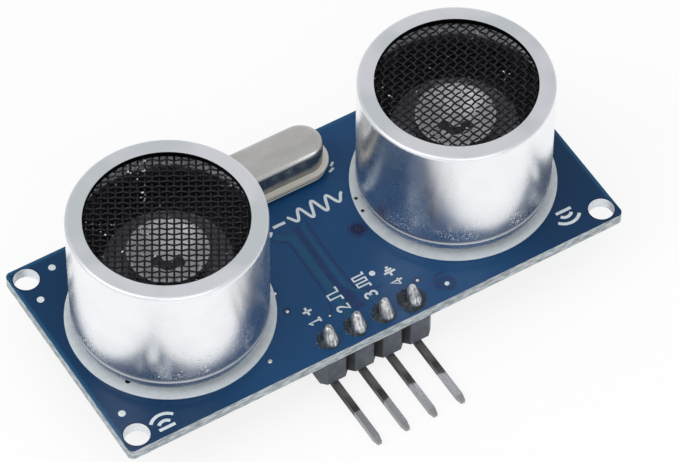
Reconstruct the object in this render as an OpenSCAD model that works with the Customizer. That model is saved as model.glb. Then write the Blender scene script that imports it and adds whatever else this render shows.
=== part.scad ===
// Ultrasonic distance sensor: a small board with two open-mouthed transducers,
// a crystal between them, a right-angle pin header and the chips behind.
// The board lies in XY with its back face at z = 0. The transducers face +Z,
// the header leaves the board's -Y edge, and the transmitter is on the -X side.

/* [Board] */
// Length of the board along X
board_l = 45; // [44:0.5:60]
// Width of the board along Y
board_w = 20; // [19:0.5:30]
// Thickness of the board
board_t = 1; // [0.8:0.1:2]
// Radius of the board's corners
board_corner_r = 0.5; // [0.2:0.1:1]
// Diameter of the four mounting holes
hole_d = 2.1; // [1:0.1:2.2]
// Distance from each mounting hole's axis to both edges
hole_inset = 1.3; // [1.2:0.1:2]
// Diameter of the plated through holes that stay open
via_d = 0.5; // [0.3:0.1:0.8]
// Distance from a mounting hole's axis to the open via beside it
via_gap = 2.3; // [1.8:0.1:3]
// Distance of the small via from the layout's middle along X
small_via_x = 3.8; // [3:0.1:4]
// Diameter of the small via between the transducers
small_via_d = 0.4; // [0.2:0.1:0.5]

/* [Layout] */
// How far the transducers, crystal and header sit from the board's middle along X
layout_x = -0.2; // [-0.5:0.1:0.5]
// Distance from each transducer's axis to the board's end, before the shift
can_inset = 9.5; // [9:0.1:10]
// Outer diameter of the printed ring round each transducer
ring_d = 16.6; // [15:0.2:17.2]
// Radial width of the printed ring
ring_w = 1.5; // [1.2:0.1:2]
// Thickness of the print
ring_t = 0.05; // [0.03:0.01:0.1]

/* [Can] */
// Outer diameter of each can
can_d = 15.6; // [15:0.1:16.4]
// Height of each can
can_h = 11.1; // [10:0.1:14]
// Height of each can's lower edge over the board
can_lift = 0.9; // [0.5:0.1:2]
// Thickness of the can's wall
can_wall = 0.4; // [0.3:0.05:0.6]
// Thickness of the ring face at the mouth
face_t = 0.5; // [0.3:0.05:0.8]
// Diameter of the mouth
mouth_d = 12.9; // [11:0.1:13.4]
// Outer edge radius of the ring face
edge_r = 0.3; // [0.1:0.05:0.4]
// Thickness of the lip that is rolled in under the base
lip_t = 0.3; // [0.2:0.05:0.5]
// Width of the lip that is rolled in under the base
lip_w = 0.5; // [0.3:0.05:0.8]
// Height of the groove above the lower edge
groove_z = 0.7; // [0.6:0.05:1]
// Radius of the groove's section
groove_r = 0.25; // [0.15:0.05:0.3]
// Depth of the groove
groove_depth = 0.1; // [0.05:0.01:0.15]

/* [Mesh] */
// Spacing of the mesh's ridges, two threads of the fine weave
mesh_pitch = 1.15; // [1.1:0.05:2]
// Width of a ridge
mesh_ridge = 0.36; // [0.2:0.02:0.5]
// Thickness of the mesh
mesh_t = 0.36; // [0.24:0.02:0.6]
// Turn of the transmitter's mesh about its axis
t_mesh_turn = -31.5; // [-90:0.5:90]
// Turn of the receiver's mesh about its axis
r_mesh_turn = 13.5; // [-90:0.5:90]

/* [Transducer] */
// Thickness of the plastic base
base_t = 1.8; // [1:0.1:2.5]
// Outer diameter of the pedestal on the base
pedestal_d = 8.6; // [7.6:0.1:8.8]
// Wall of the pedestal
pedestal_wall = 1.1; // [0.8:0.1:1.4]
// Height of the pedestal
pedestal_h = 2.6; // [1.6:0.1:3]
// Thickness of the soft cushion under the disc
cushion_t = 0.55; // [0.5:0.05:0.8]
// Diameter of the metal disc
disc_d = 10.2; // [10:0.1:12]
// Thickness of the metal disc
disc_t = 0.3; // [0.2:0.05:0.5]
// Gap between the ceramic disc and the pedestal round it
piezo_gap = 0.2; // [0.1:0.05:0.6]
// Thickness of the ceramic disc
piezo_t = 0.4; // [0.2:0.05:0.45]
// Rim diameter of the horn
horn_d = 6.4; // [5:0.1:9]
// Height of the horn
horn_h = 1.6; // [1:0.1:2.4]
// Diameter of the horn's foot
horn_foot_d = 3; // [2:0.1:4]
// Diameter of the hole in the horn's foot
horn_hole_d = 1.4; // [0.6:0.1:1.8]
// Wall of the horn
horn_wall = 0.2; // [0.15:0.05:0.4]
// Distance between a transducer's two leads
lead_pitch = 10; // [9.6:0.1:10.2]
// Diameter of a lead
lead_d = 0.6; // [0.4:0.05:0.7]
// Length of a lead past the board's back
lead_tail = 1.2; // [1:0.1:1.5]
// Length of a lead above the base
lead_stub = 0.8; // [0.4:0.1:1.2]
// Diameter of the wires inside
wire_d = 0.2; // [0.1:0.05:0.3]
// Diameter of a foot of the base
foot_d = 1.6; // [1:0.1:2]
// Distance of a foot from the transducer's axis
foot_r = 5.6; // [5:0.1:5.8]

/* [Crystal] */
// Length of the crystal's flange
crystal_l = 11.2; // [9:0.1:13]
// Width of the crystal's flange
crystal_w = 4.5; // [4:0.1:5]
// Height of the crystal over its flange's underside
crystal_h = 2.9; // [2.4:0.1:3.6]
// Width of the flange outside the crystal's cover
crystal_flange = 0.45; // [0.3:0.05:0.6]
// Thickness of each of the two flange layers
crystal_flange_t = 0.35; // [0.25:0.05:0.5]
// Edge radius of the crystal's cover
crystal_edge_r = 0.4; // [0.2:0.05:0.7]
// Gap between the crystal and the board
crystal_gap = 0.3; // [0.1:0.1:0.6]
// Distance of the crystal's axis from the board's +Y edge
crystal_inset = 2.6; // [2.4:0.05:3]
// Distance of the crystal's middle from the layout's middle along X
crystal_x = -0.1; // [-0.8:0.1:0.8]
// Distance between the crystal's two leads
crystal_pitch = 4.88; // [4:0.1:5.2]
// Diameter of a crystal lead
crystal_lead_d = 0.45; // [0.3:0.05:0.5]

/* [Header] */
// Distance from pin to pin
pin_pitch = 2.54; // [2:0.01:2.6]
// Side of a pin's square section
pin_w = 0.56; // [0.5:0.02:0.7]
// Distance of the pin row from the board's -Y edge
pin_inset = 1.4; // [1.3:0.1:1.8]
// Length of a pin above the board
pin_tail = 1.8; // [1.2:0.1:2]
// Reach of the pins past the board's -Y edge
pin_reach = 6.3; // [4:0.1:9]
// Radius of a pin's bend along its middle
pin_bend_r = 0.65; // [0.5:0.05:1]
// Length of a pin's tapered tip
tip_l = 0.6; // [0.3:0.1:1]
// Side of a pin's tip at its end
tip_w = 0.34; // [0.2:0.02:0.5]
// Height and depth of the plastic housing
housing_w = 2.5; // [2.4:0.02:2.6]
// Corner chamfer of a housing cell
housing_chamfer = 0.45; // [0.2:0.05:0.6]
// Height of the nibs that hold the housing off the board
nib_h = 0.35; // [0.1:0.05:0.5]
// Base radius of a solder joint on the pin row
joint_r = 0.85; // [0.75:0.05:0.95]
// Height of a solder joint on the pin row
joint_h = 1.3; // [0.8:0.1:1.6]

/* [Back] */
// Distance between two leads of a chip
chip_pitch = 1.27; // [1.1:0.01:1.3]
// Width of a chip's body
chip_w = 3.9; // [3.6:0.1:4.2]
// Height of a chip's body
chip_h = 1.4; // [1.2:0.1:1.6]
// Gap between a chip's body and the board
chip_gap = 0.15; // [0.1:0.05:0.3]
// Width over a chip's two rows of leads
chip_span = 6; // [5.6:0.1:6.4]
// Length of the driver chip behind the transmitter
driver_l = 9.9; // [9.7:0.1:10.5]
// Length of the logic and amplifier chips
logic_l = 8.65; // [8.5:0.05:9]
// Distance of the logic chip's axis from the board's middle along Y
logic_y = 1.4; // [1:0.1:1.6]
// Width of a chip lead
chip_lead_w = 0.42; // [0.3:0.02:0.5]
// Thickness of a chip lead
chip_lead_t = 0.2; // [0.15:0.01:0.25]
// Length of a small resistor or capacitor
passive_l = 1.6; // [1.4:0.1:1.8]
// Width of a small resistor or capacitor
passive_w = 0.8; // [0.6:0.1:0.9]
// Length of an end cap on a small resistor or capacitor
passive_end = 0.3; // [0.2:0.05:0.4]
// Height of a resistor
resistor_h = 0.45; // [0.35:0.05:0.6]
// Height of a capacitor
capacitor_h = 0.8; // [0.6:0.05:1]
// Distance of the outer rows of small pieces from the board's long edges
row_inset = 1.6; // [1.3:0.1:1.8]
// Distance from piece to piece along a row
row_pitch = 2.5; // [2.4:0.1:2.6]
// Length of the transistor
transistor_l = 2.9; // [2.6:0.1:3]
// Width of the transistor
transistor_w = 1.3; // [1.2:0.1:1.4]
// Height of the transistor's body
transistor_h = 1; // [0.8:0.1:1.2]

/* [Hidden] */
$fn = 48;

// Clearance of a round lead in a hole of another piece, and of the loose inner pieces
fit = 0.02;
// Overshoot of a cutting tool past the faces that it opens
over = 1;

// Clearance round a lead or pin in the board's hole
hole_play = 0.15;

small_via_y = -0.45;

t_x = layout_x - (board_l / 2 - can_inset);
r_x = layout_x + (board_l / 2 - can_inset);
hole_x = board_l / 2 - hole_inset;
hole_y = board_w / 2 - hole_inset;

can_r = can_d / 2;
can_z = board_t + can_lift;
can_top = can_z + can_h;
cavity_r = can_r - can_wall;
mouth_r = mouth_d / 2;
mesh_z = can_top - face_t - mesh_t;
base_z = can_z + lip_t;
pedestal_z = base_z + base_t;
cushion_z = pedestal_z + pedestal_h;
disc_z = cushion_z + cushion_t;
horn_z = disc_z + disc_t;
pedestal_in_r = pedestal_d / 2 - pedestal_wall;
piezo_r = pedestal_in_r - piezo_gap;

crystal_y = board_w / 2 - crystal_inset;
crystal_mid = layout_x + crystal_x;
crystal_z = board_t + crystal_gap;

pin_count = 4;
pin_y = pin_inset - board_w / 2;
pin_bend_z = -nib_h - housing_w;
nib_w = housing_w / 2;
pin_corner_r = pin_w / sqrt(2);
pin_hole_d = 2 * pin_corner_r + hole_play;
joint_neck_r = pin_corner_r + fit / 2;

// Places of the pins along X
pin_places = [for (i = [0 : pin_count - 1]) layout_x + (i - (pin_count - 1) / 2) * pin_pitch];

// Solder at the back of the round leads
back_joint_h = 0.7;
can_joint_r = 0.95;
can_joint_neck_r = 0.4;
crystal_joint_r = 0.7;
crystal_joint_neck_r = 0.3;

// Moulded bodies: draft of the sides, and the dimple at the first lead
chip_draft = 0.12;
chip_dimple_d = 0.8;
dimple_depth = 0.1;
transistor_dimple_d = 0.3;

// Rows of small pieces behind each transducer, and columns and a row round the logic chip
row_y = board_w / 2 - row_inset;
row_count = 4;
column_x = 6.2;
column_pitch = 2.4;
middle_row_y = -4.4;
middle_row_count = 3;

// Transistor beside the logic chip
transistor_x = layout_x - column_x;
transistor_y = -4.2;
transistor_span = 2.4;
transistor_pitch = 1.9;

// A flat ring
module tube(r_out, r_in, h) {
    difference() {
        cylinder(r = r_out, h = h);
        translate([0, 0, -over]) cylinder(r = r_in, h = h + 2 * over);
    }
}

// An outline with two straight sides and two round ends, its length along X
module stadium(l, w) {
    square([l - w, w], center = true);
    for (s = [-1, 1]) translate([s * (l - w) / 2, 0]) circle(d = w);
}

// A rectangle with round corners
module round_rectangle(l, w, r) {
    square([l - 2 * r, w], center = true);
    square([l, w - 2 * r], center = true);
    for (x = [-1, 1], y = [-1, 1]) translate([x * (l / 2 - r), y * (w / 2 - r)]) circle(r);
}

// A hollow solder fillet that narrows from r_low at z = 0 to r_high at z = h
module fillet_of_solder(r_low, r_high, h) {
    step = r_low - r_high;
    arc_r = (step * step + h * h) / (2 * step);
    rotate_extrude() difference() {
        square([r_low, h]);
        translate([r_high + arc_r, h]) circle(arc_r, $fn = 96);
    }
}

// Places its children on the board's back, upside down, turned by a
module on_back(x, y, a = 0) {
    translate([x, y, 0]) rotate([180, 0, a]) children();
}

// Board with every hole through it
module pcb() {
    color("#1f4272") difference() {
        linear_extrude(board_t) round_rectangle(board_l, board_w, board_corner_r);
        for (x = [-1, 1], y = [-1, 1]) board_hole(x * hole_x, y * hole_y, hole_d);
        board_hole(via_gap - hole_x, hole_y, via_d);
        for (y = [-1, 1]) board_hole(-hole_x, y * (hole_y - via_gap), via_d);
        for (x = [t_x, r_x], s = [-1, 1]) board_hole(x + s * lead_pitch / 2, 0, lead_d + 2 * hole_play);
        for (s = [-1, 1]) {
            board_hole(crystal_mid + s * crystal_pitch / 2, crystal_y, crystal_lead_d + 2 * hole_play);
        }
        for (x = pin_places) board_hole(x, pin_y, pin_hole_d);
        board_hole(layout_x + small_via_x, small_via_y, small_via_d);
    }
}

module board_hole(x, y, d) {
    translate([x, y, -over]) cylinder(d = d, h = board_t + 2 * over);
}

// Printed rings on the board's face
module print_rings() {
    color("#b9c2c6") for (x = [t_x, r_x]) {
        translate([x, 0, board_t]) tube(ring_d / 2, ring_d / 2 - ring_w, ring_t);
    }
}

// Drawn metal can: ring face, straight wall, groove and rolled-in lip
module can(x) {
    color("#c9ccd1") translate([x, 0, can_z]) rotate_extrude($fn = 96) difference() {
        union() {
            square([can_r, can_h - edge_r]);
            square([can_r - edge_r, can_h]);
            translate([can_r - edge_r, can_h - edge_r]) circle(edge_r);
        }
        translate([0, lip_t]) square([cavity_r, can_h - lip_t - face_t]);
        square([mouth_r, can_h]);
        square([cavity_r - lip_w, lip_t]);
        translate([can_r + groove_r - groove_depth, groove_z]) circle(groove_r);
    }
}

module t_can() { can(t_x); }

module r_can() { can(r_x); }

// Mesh behind the mouth: ridges that cross in two layers, with gaps between them
module mesh(x, turn) {
    layer_t = mesh_t / 2;
    color("#26272b") translate([x, 0, mesh_z]) union() {
        for (k = [0, 1]) translate([0, 0, k * layer_t]) rotate(turn + 90 * k) mesh_layer(layer_t);
    }
}

module mesh_layer(h) {
    mesh_r = cavity_r - fit;
    ridges = floor(mouth_r / mesh_pitch);
    linear_extrude(h) union() {
        difference() {
            circle(mesh_r);
            circle(mouth_r);
        }
        intersection() {
            circle(mesh_r);
            union() for (i = [-ridges : ridges]) {
                translate([i * mesh_pitch - mesh_ridge / 2, -mesh_r]) square([mesh_ridge, 2 * mesh_r]);
            }
        }
    }
}

module t_mesh() { mesh(t_x, t_mesh_turn); }

module r_mesh() { mesh(r_x, r_mesh_turn); }

// Open cone that couples the disc to the air
module horn(x) {
    foot_r_out = horn_foot_d / 2;
    rim_r = horn_d / 2;
    color("#c8c9c9") translate([x, 0, horn_z]) rotate_extrude() polygon([
        [horn_hole_d / 2, 0], [foot_r_out, 0], [rim_r, horn_h],
        [rim_r - horn_wall, horn_h], [foot_r_out - horn_wall, horn_wall], [horn_hole_d / 2, horn_wall]]);
}

module t_horn() { horn(t_x); }

module r_horn() { horn(r_x); }

// Metal disc that bends with the ceramic
module disc(x) {
    color("#8f8a7a") translate([x, 0, disc_z]) cylinder(d = disc_d, h = disc_t);
}

module t_disc() { disc(t_x); }

module r_disc() { disc(r_x); }

// Ceramic disc under the metal one
module piezo(x) {
    color("#d8d0bb") translate([x, 0, disc_z - piezo_t]) cylinder(r = piezo_r, h = piezo_t);
}

module t_piezo() { piezo(t_x); }

module r_piezo() { piezo(r_x); }

// Soft ring between pedestal and disc
module cushion(x) {
    color("#e8e6df") translate([x, 0, cushion_z]) tube(pedestal_d / 2, pedestal_in_r, cushion_t);
}

module t_cushion() { cushion(t_x); }

module r_cushion() { cushion(r_x); }

// Plastic base: plug, pedestal with a slot for the wire, and feet on the board
module transducer_base(x) {
    foot_h = base_z - board_t;
    color("#2a2b2e") translate([x, 0, base_z]) difference() {
        union() {
            cylinder(r = cavity_r - fit, h = base_t);
            tube(pedestal_d / 2, pedestal_in_r, base_t + pedestal_h);
            for (a = [45 : 90 : 315]) rotate(a) translate([foot_r, 0, -foot_h]) {
                cylinder(d = foot_d, h = foot_h + base_t / 2);
            }
        }
        for (s = [-1, 1]) translate([s * lead_pitch / 2, 0, -over]) {
            cylinder(d = lead_d + 2 * fit, h = base_t + 2 * over);
        }
        translate([-pedestal_d, -wire_d, base_t + lead_stub / 2]) cube([pedestal_d, 2 * wire_d, pedestal_h]);
    }
}

module t_base() { transducer_base(t_x); }

module r_base() { transducer_base(r_x); }

// The two leads of a transducer
module leads(x) {
    low = -lead_tail;
    color("#c9c4b4") for (s = [-1, 1]) {
        translate([x + s * lead_pitch / 2, 0, low]) cylinder(d = lead_d, h = pedestal_z + lead_stub - low);
    }
}

module t_leads() { leads(t_x); }

module r_leads() { leads(r_x); }

// Wires from the leads: one up to the metal disc, one through the slot to the ceramic
module wires(x) {
    lead_top = pedestal_z + lead_stub;
    wire_z = lead_top + wire_d / 2;
    ceramic_z = disc_z - piezo_t;
    run_in = piezo_r / 2;
    rise_x = min(lead_pitch / 2, disc_d / 2 - wire_d);
    color("#b87a4a") translate([x, 0, 0]) {
        translate([rise_x, 0, lead_top]) cylinder(d = wire_d, h = disc_z - lead_top);
        translate([-lead_pitch / 2, 0, wire_z]) rotate([0, 90, 0]) {
            cylinder(d = wire_d, h = lead_pitch / 2 - run_in);
        }
        translate([-run_in, 0, wire_z]) sphere(d = wire_d);
        translate([-run_in, 0, wire_z]) cylinder(d = wire_d, h = ceramic_z - wire_z);
    }
}

module t_wires() { wires(t_x); }

module r_wires() { wires(r_x); }

// Solder round the transducers' leads behind the board
module can_solder() {
    color("#b9bcc0") for (x = [t_x, r_x], s = [-1, 1]) on_back(x + s * lead_pitch / 2, 0) {
        round_joint(can_joint_r, can_joint_neck_r, lead_d);
    }
}

module round_joint(r_low, r_high, d) {
    difference() {
        fillet_of_solder(r_low, r_high, back_joint_h);
        translate([0, 0, -over]) cylinder(d = d + 2 * fit, h = back_joint_h + 2 * over);
    }
}

// Crystal's pressed cover with its flange, its upper edges round
module crystal_cover() {
    cover_l = crystal_l - 2 * crystal_flange;
    cover_w = crystal_w - 2 * crystal_flange;
    bar_l = cover_l - cover_w;
    color("#b4b3ae") translate([crystal_mid, crystal_y, crystal_z + crystal_flange_t]) union() {
        linear_extrude(crystal_flange_t) stadium(crystal_l, crystal_w);
        rotate([90, 0, 90]) translate([0, 0, -bar_l / 2]) linear_extrude(bar_l) {
            cover_half_section(cover_w / 2);
            mirror([1, 0]) cover_half_section(cover_w / 2);
        }
        for (s = [-1, 1]) translate([s * bar_l / 2, 0, 0]) rotate(-90 * s) {
            rotate_extrude(angle = 180) cover_half_section(cover_w / 2);
        }
    }
}

// Half of the cover's section, from its middle to its side
module cover_half_section(half_w) {
    cover_h = crystal_h - crystal_flange_t;
    square([half_w, cover_h - crystal_edge_r]);
    square([half_w - crystal_edge_r, cover_h]);
    translate([half_w - crystal_edge_r, cover_h - crystal_edge_r]) circle(crystal_edge_r);
}

// Crystal's base plate
module crystal_base() {
    rim = crystal_flange / 4;
    color("#c3beb0") translate([crystal_mid, crystal_y, crystal_z]) {
        linear_extrude(crystal_flange_t) stadium(crystal_l - 2 * rim, crystal_w - 2 * rim);
    }
}

module crystal_leads() {
    color("#c9c4b4") for (s = [-1, 1]) {
        translate([crystal_mid + s * crystal_pitch / 2, crystal_y, -lead_tail]) {
            cylinder(d = crystal_lead_d, h = crystal_z + lead_tail);
        }
    }
}

module crystal_solder() {
    color("#b9bcc0") for (s = [-1, 1]) on_back(crystal_mid + s * crystal_pitch / 2, crystal_y) {
        round_joint(crystal_joint_r, crystal_joint_neck_r, crystal_lead_d);
    }
}

// Header's plastic: chamfered cells in a row, each with a square hole and a nib on the board
module header_housing() {
    color("#45464b") difference() {
        for (x = pin_places) translate([x, pin_y, -nib_h - housing_w]) {
            linear_extrude(housing_w) housing_cell();
            translate([-nib_w / 2, -housing_w / 2, 0]) cube([nib_w, housing_w, housing_w + nib_h]);
        }
        for (x = pin_places) translate([x - pin_w / 2, pin_y - pin_w / 2, -nib_h - housing_w - over]) {
            cube([pin_w, pin_w, nib_h + housing_w + 2 * over]);
        }
    }
}

// A square as wide as the pitch, with its four corners cut off
module housing_cell() {
    a = pin_pitch / 2;
    b = housing_w / 2;
    c = housing_chamfer;
    polygon([
        [a - c, b], [c - a, b], [-a, b - c], [-a, c - b],
        [c - a, -b], [a - c, -b], [a, c - b], [a, b - c]]);
}

// Square pin: upright through board and housing, bent forward under it, with a tapered tip
module header_pin(i) {
    leg_y = -pin_bend_r;
    tip_y = -board_w / 2 - pin_reach - pin_y;
    color("#a5a6a8") translate([pin_places[i], pin_y, 0]) union() {
        translate([-pin_w / 2, -pin_w / 2, pin_bend_z]) cube([pin_w, pin_w, board_t + pin_tail - pin_bend_z]);
        translate([0, leg_y, pin_bend_z]) rotate([0, 90, 0]) rotate_extrude(angle = 90) {
            translate([pin_bend_r - pin_w / 2, -pin_w / 2]) square(pin_w);
        }
        translate([0, leg_y, pin_bend_z - pin_bend_r]) intersection() {
            translate([0, 0, -pin_w / 2]) linear_extrude(pin_w) pin_outline(leg_y - tip_y);
            rotate([0, 90, 0]) translate([0, 0, -pin_w / 2]) linear_extrude(pin_w) pin_outline(leg_y - tip_y);
        }
    }
}

// Outline of a pin's forward leg, from the origin along -Y
module pin_outline(l) {
    w = pin_w / 2;
    t = tip_w / 2;
    polygon([[-w, 0], [w, 0], [w, tip_l - l], [t, -l], [-t, -l], [-w, tip_l - l]]);
}

module header_pin_1() { header_pin(0); }

module header_pin_2() { header_pin(1); }

module header_pin_3() { header_pin(2); }

module header_pin_4() { header_pin(3); }

// Solder cones round the pins on the board's face
module header_solder() {
    color("#a9abae") for (x = pin_places) translate([x, pin_y, board_t]) difference() {
        fillet_of_solder(joint_r, joint_neck_r, joint_h);
        translate([-pin_w / 2, -pin_w / 2, -over]) cube([pin_w, pin_w, joint_h + 2 * over]);
    }
}

// Moulded chip body with drafted sides and a dimple at its first lead, its length along Y
module chip_body(l, w, h, dimple_d) {
    color("#26272a") translate([0, 0, chip_gap]) difference() {
        intersection() {
            rotate([90, 0, 0]) translate([0, 0, -l]) linear_extrude(2 * l) drafted(w, h);
            rotate([90, 0, 90]) translate([0, 0, -w]) linear_extrude(2 * w) drafted(l, h);
        }
        translate([dimple_d - w / 2, l / 2 - dimple_d, h - dimple_depth]) cylinder(d = dimple_d, h = over);
    }
}

// Section of a moulded body: widest in a band at half its height, where the leads leave
module drafted(w, h) {
    a = w / 2;
    b = a - chip_draft;
    low = (h - chip_lead_t) / 2;
    high = (h + chip_lead_t) / 2;
    polygon([[-b, 0], [b, 0], [a, low], [a, high], [b, h], [-b, h], [-a, high], [-a, low]]);
}

// Gull-wing lead that leaves a body of width w and height h towards +X and stands on the board
module chip_lead(w, h, span) {
    t = chip_lead_t;
    in_x = w / 2;
    out_x = span / 2;
    shoulder = in_x + (out_x - in_x) * 0.15;
    heel = in_x + (out_x - in_x) * 0.4;
    slant = t * 0.8;
    high = chip_gap + (h + t) / 2;
    rotate([90, 0, 0]) translate([0, 0, -chip_lead_w / 2]) linear_extrude(chip_lead_w) polygon([
        [in_x, high], [in_x, high - t], [shoulder, high - t], [heel, 0],
        [out_x, 0], [out_x, t], [heel + slant, t], [shoulder + slant, high]]);
}

// Both rows of a chip's leads
module chip_leads(count) {
    side = count / 2;
    color("#b4b6ba") for (i = [0 : side - 1], a = [0, 180]) {
        rotate(a) translate([0, (i - (side - 1) / 2) * chip_pitch, 0]) chip_lead(chip_w, chip_h, chip_span);
    }
}

module driver_chip() { on_back(t_x, 0) chip_body(driver_l, chip_w, chip_h, chip_dimple_d); }

module driver_chip_leads() { on_back(t_x, 0) chip_leads(16); }

module logic_chip() { on_back(layout_x, logic_y, 90) chip_body(logic_l, chip_w, chip_h, chip_dimple_d); }

module logic_chip_leads() { on_back(layout_x, logic_y, 90) chip_leads(14); }

module amplifier_chip() { on_back(r_x, 0, 180) chip_body(logic_l, chip_w, chip_h, chip_dimple_d); }

module amplifier_chip_leads() { on_back(r_x, 0, 180) chip_leads(14); }

// Small transistor beside the logic chip
module transistor() {
    on_back(transistor_x, transistor_y) {
        chip_body(transistor_l, transistor_w, transistor_h, transistor_dimple_d);
    }
}

module transistor_leads() {
    color("#b4b6ba") on_back(transistor_x, transistor_y) {
        for (y = [-1, 1]) translate([0, y * transistor_pitch / 2, 0]) transistor_lead();
        rotate(180) transistor_lead();
    }
}

module transistor_lead() { chip_lead(transistor_w, transistor_h, transistor_span); }

// Body of a resistor or capacitor between its two end caps
module passive_body(h) {
    body_l = passive_l - 2 * passive_end;
    translate([-body_l / 2, -passive_w / 2, 0]) cube([body_l, passive_w, h]);
}

module passive_ends(h) {
    for (s = [-1, 1]) translate([s * (passive_l - passive_end) / 2 - passive_end / 2, -passive_w / 2, 0]) {
        cube([passive_end, passive_w, h]);
    }
}

// Places its children in a row along X round x
module in_row(x, y, count) {
    for (i = [0 : count - 1]) on_back(x + (i - (count - 1) / 2) * row_pitch, y, 90) children();
}

// Places of the resistors: a row beyond each transducer's chip and one before the header
module at_resistors() {
    for (x = [t_x, r_x]) in_row(x, row_y, row_count) children();
    in_row(layout_x, middle_row_y, middle_row_count) children();
}

// Places of the capacitors: a row before each transducer's chip and two columns by the logic chip
module at_capacitors() {
    for (x = [t_x, r_x]) in_row(x, -row_y, row_count) children();
    for (s = [-1, 1], i = [0 : 1]) on_back(layout_x + s * column_x, logic_y + i * column_pitch) children();
}

module resistors() { color("#1c1c1e") at_resistors() passive_body(resistor_h); }

module resistor_ends() { color("#b9bcc0") at_resistors() passive_ends(resistor_h); }

module capacitors() { color("#a88f6a") at_capacitors() passive_body(capacitor_h); }

module capacitor_ends() { color("#b9bcc0") at_capacitors() passive_ends(capacitor_h); }

pcb();
print_rings();
t_can();
t_mesh();
t_horn();
t_disc();
t_piezo();
t_cushion();
t_base();
t_leads();
t_wires();
r_can();
r_mesh();
r_horn();
r_disc();
r_piezo();
r_cushion();
r_base();
r_leads();
r_wires();
can_solder();
crystal_cover();
crystal_base();
crystal_leads();
crystal_solder();
header_housing();
header_pin_1();
header_pin_2();
header_pin_3();
header_pin_4();
header_solder();
driver_chip();
driver_chip_leads();
logic_chip();
logic_chip_leads();
amplifier_chip();
amplifier_chip_leads();
transistor();
transistor_leads();
resistors();
resistor_ends();
capacitors();
capacitor_ends();
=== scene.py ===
"""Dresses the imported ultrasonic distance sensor: finishes, fine pieces, stage, light and camera.

Lengths in the classes are in millimetres, in the part's own frame: the board lies in XY with its
back face at z = 0, +X runs from the transmitter to the receiver, and the mouths face +Z.
"""

import logging
import math
import random
from collections.abc import Iterable, Iterator
from dataclasses import dataclass
from enum import Enum
from typing import Any

import bmesh
import bpy
from mathutils import Matrix, Vector


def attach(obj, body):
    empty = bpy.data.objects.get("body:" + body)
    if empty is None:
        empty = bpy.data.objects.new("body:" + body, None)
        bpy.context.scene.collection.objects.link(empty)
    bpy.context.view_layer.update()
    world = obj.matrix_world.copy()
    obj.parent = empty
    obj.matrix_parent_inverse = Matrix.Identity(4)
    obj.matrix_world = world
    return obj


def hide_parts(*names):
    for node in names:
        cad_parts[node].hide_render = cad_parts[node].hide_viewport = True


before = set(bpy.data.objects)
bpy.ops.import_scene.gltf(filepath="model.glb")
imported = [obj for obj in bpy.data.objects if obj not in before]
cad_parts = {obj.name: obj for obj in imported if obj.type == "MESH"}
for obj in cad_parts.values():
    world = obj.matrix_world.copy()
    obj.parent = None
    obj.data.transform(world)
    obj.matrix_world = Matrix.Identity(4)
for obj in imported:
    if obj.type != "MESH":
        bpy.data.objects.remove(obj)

MM = 0.001
# Heights of the board's two faces, places of the transducers' axes and of the header's pins.
TOP = 1.0
BACK = 0.0
MIDDLE_X = -0.2
APART = 13.0
T_X = MIDDLE_X - APART
R_X = MIDDLE_X + APART
PIN_Y = -8.6
PIN_PITCH = 2.54
PIN_X = tuple(MIDDLE_X + i * PIN_PITCH for i in (-1.5, -0.5, 0.5, 1.5))
# Distance within which two points of a shape in millimetres are one.
MERGE = 1e-5
# Part of a noise's range that a finish's drift uses, the noises' detail, and the least roughness.
DRIFT_SPAN = (0.3, 0.7)
DRIFT_DETAIL = 3.0
BUMP_DETAIL = 2.0
LEAST_ROUGH = 0.02
# Half a drawn line's width at a point of radius 1, how steeply its sides rise, and how far it
# clears its face.
LINE_HALF = 0.5
LINE_STEEPNESS = 8.0
LINE_LIFT = 0.001
# Sides of a small round dot.
DOT_SIDES = 24
WHITE = (1, 1, 1, 1)
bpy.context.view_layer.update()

log = logging.getLogger("ultrasonic_sensor")

Point = tuple[float, float]
Span = tuple[float, float]
Spot = tuple[float, float, float]
Ring = tuple[float, float, float, float]
Line = tuple[list[Point], float]
# Size of a noise's patches in millimetres, its detail, and the span that goes from 0 to 1.
Patches = tuple[float, float, Span]
Shape = bmesh.types.BMesh
Part = tuple[Shape, Matrix]
Link = Any


def to_linear(hex_colour: str) -> tuple[float, float, float, float]:
    """Turns an sRGB hex colour into linear RGBA.

    Args:
        hex_colour: Six hex digits, with or without a leading #.

    Returns:
        Linear red, green, blue and an alpha of 1.
    """
    digits = hex_colour.lstrip("#")
    channels = [int(digits[i : i + 2], 16) / 255 for i in (0, 2, 4)]
    linear = [c / 12.92 if c <= 0.04045 else ((c + 0.055) / 1.055) ** 2.4 for c in channels]
    return (linear[0], linear[1], linear[2], 1.0)


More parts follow.
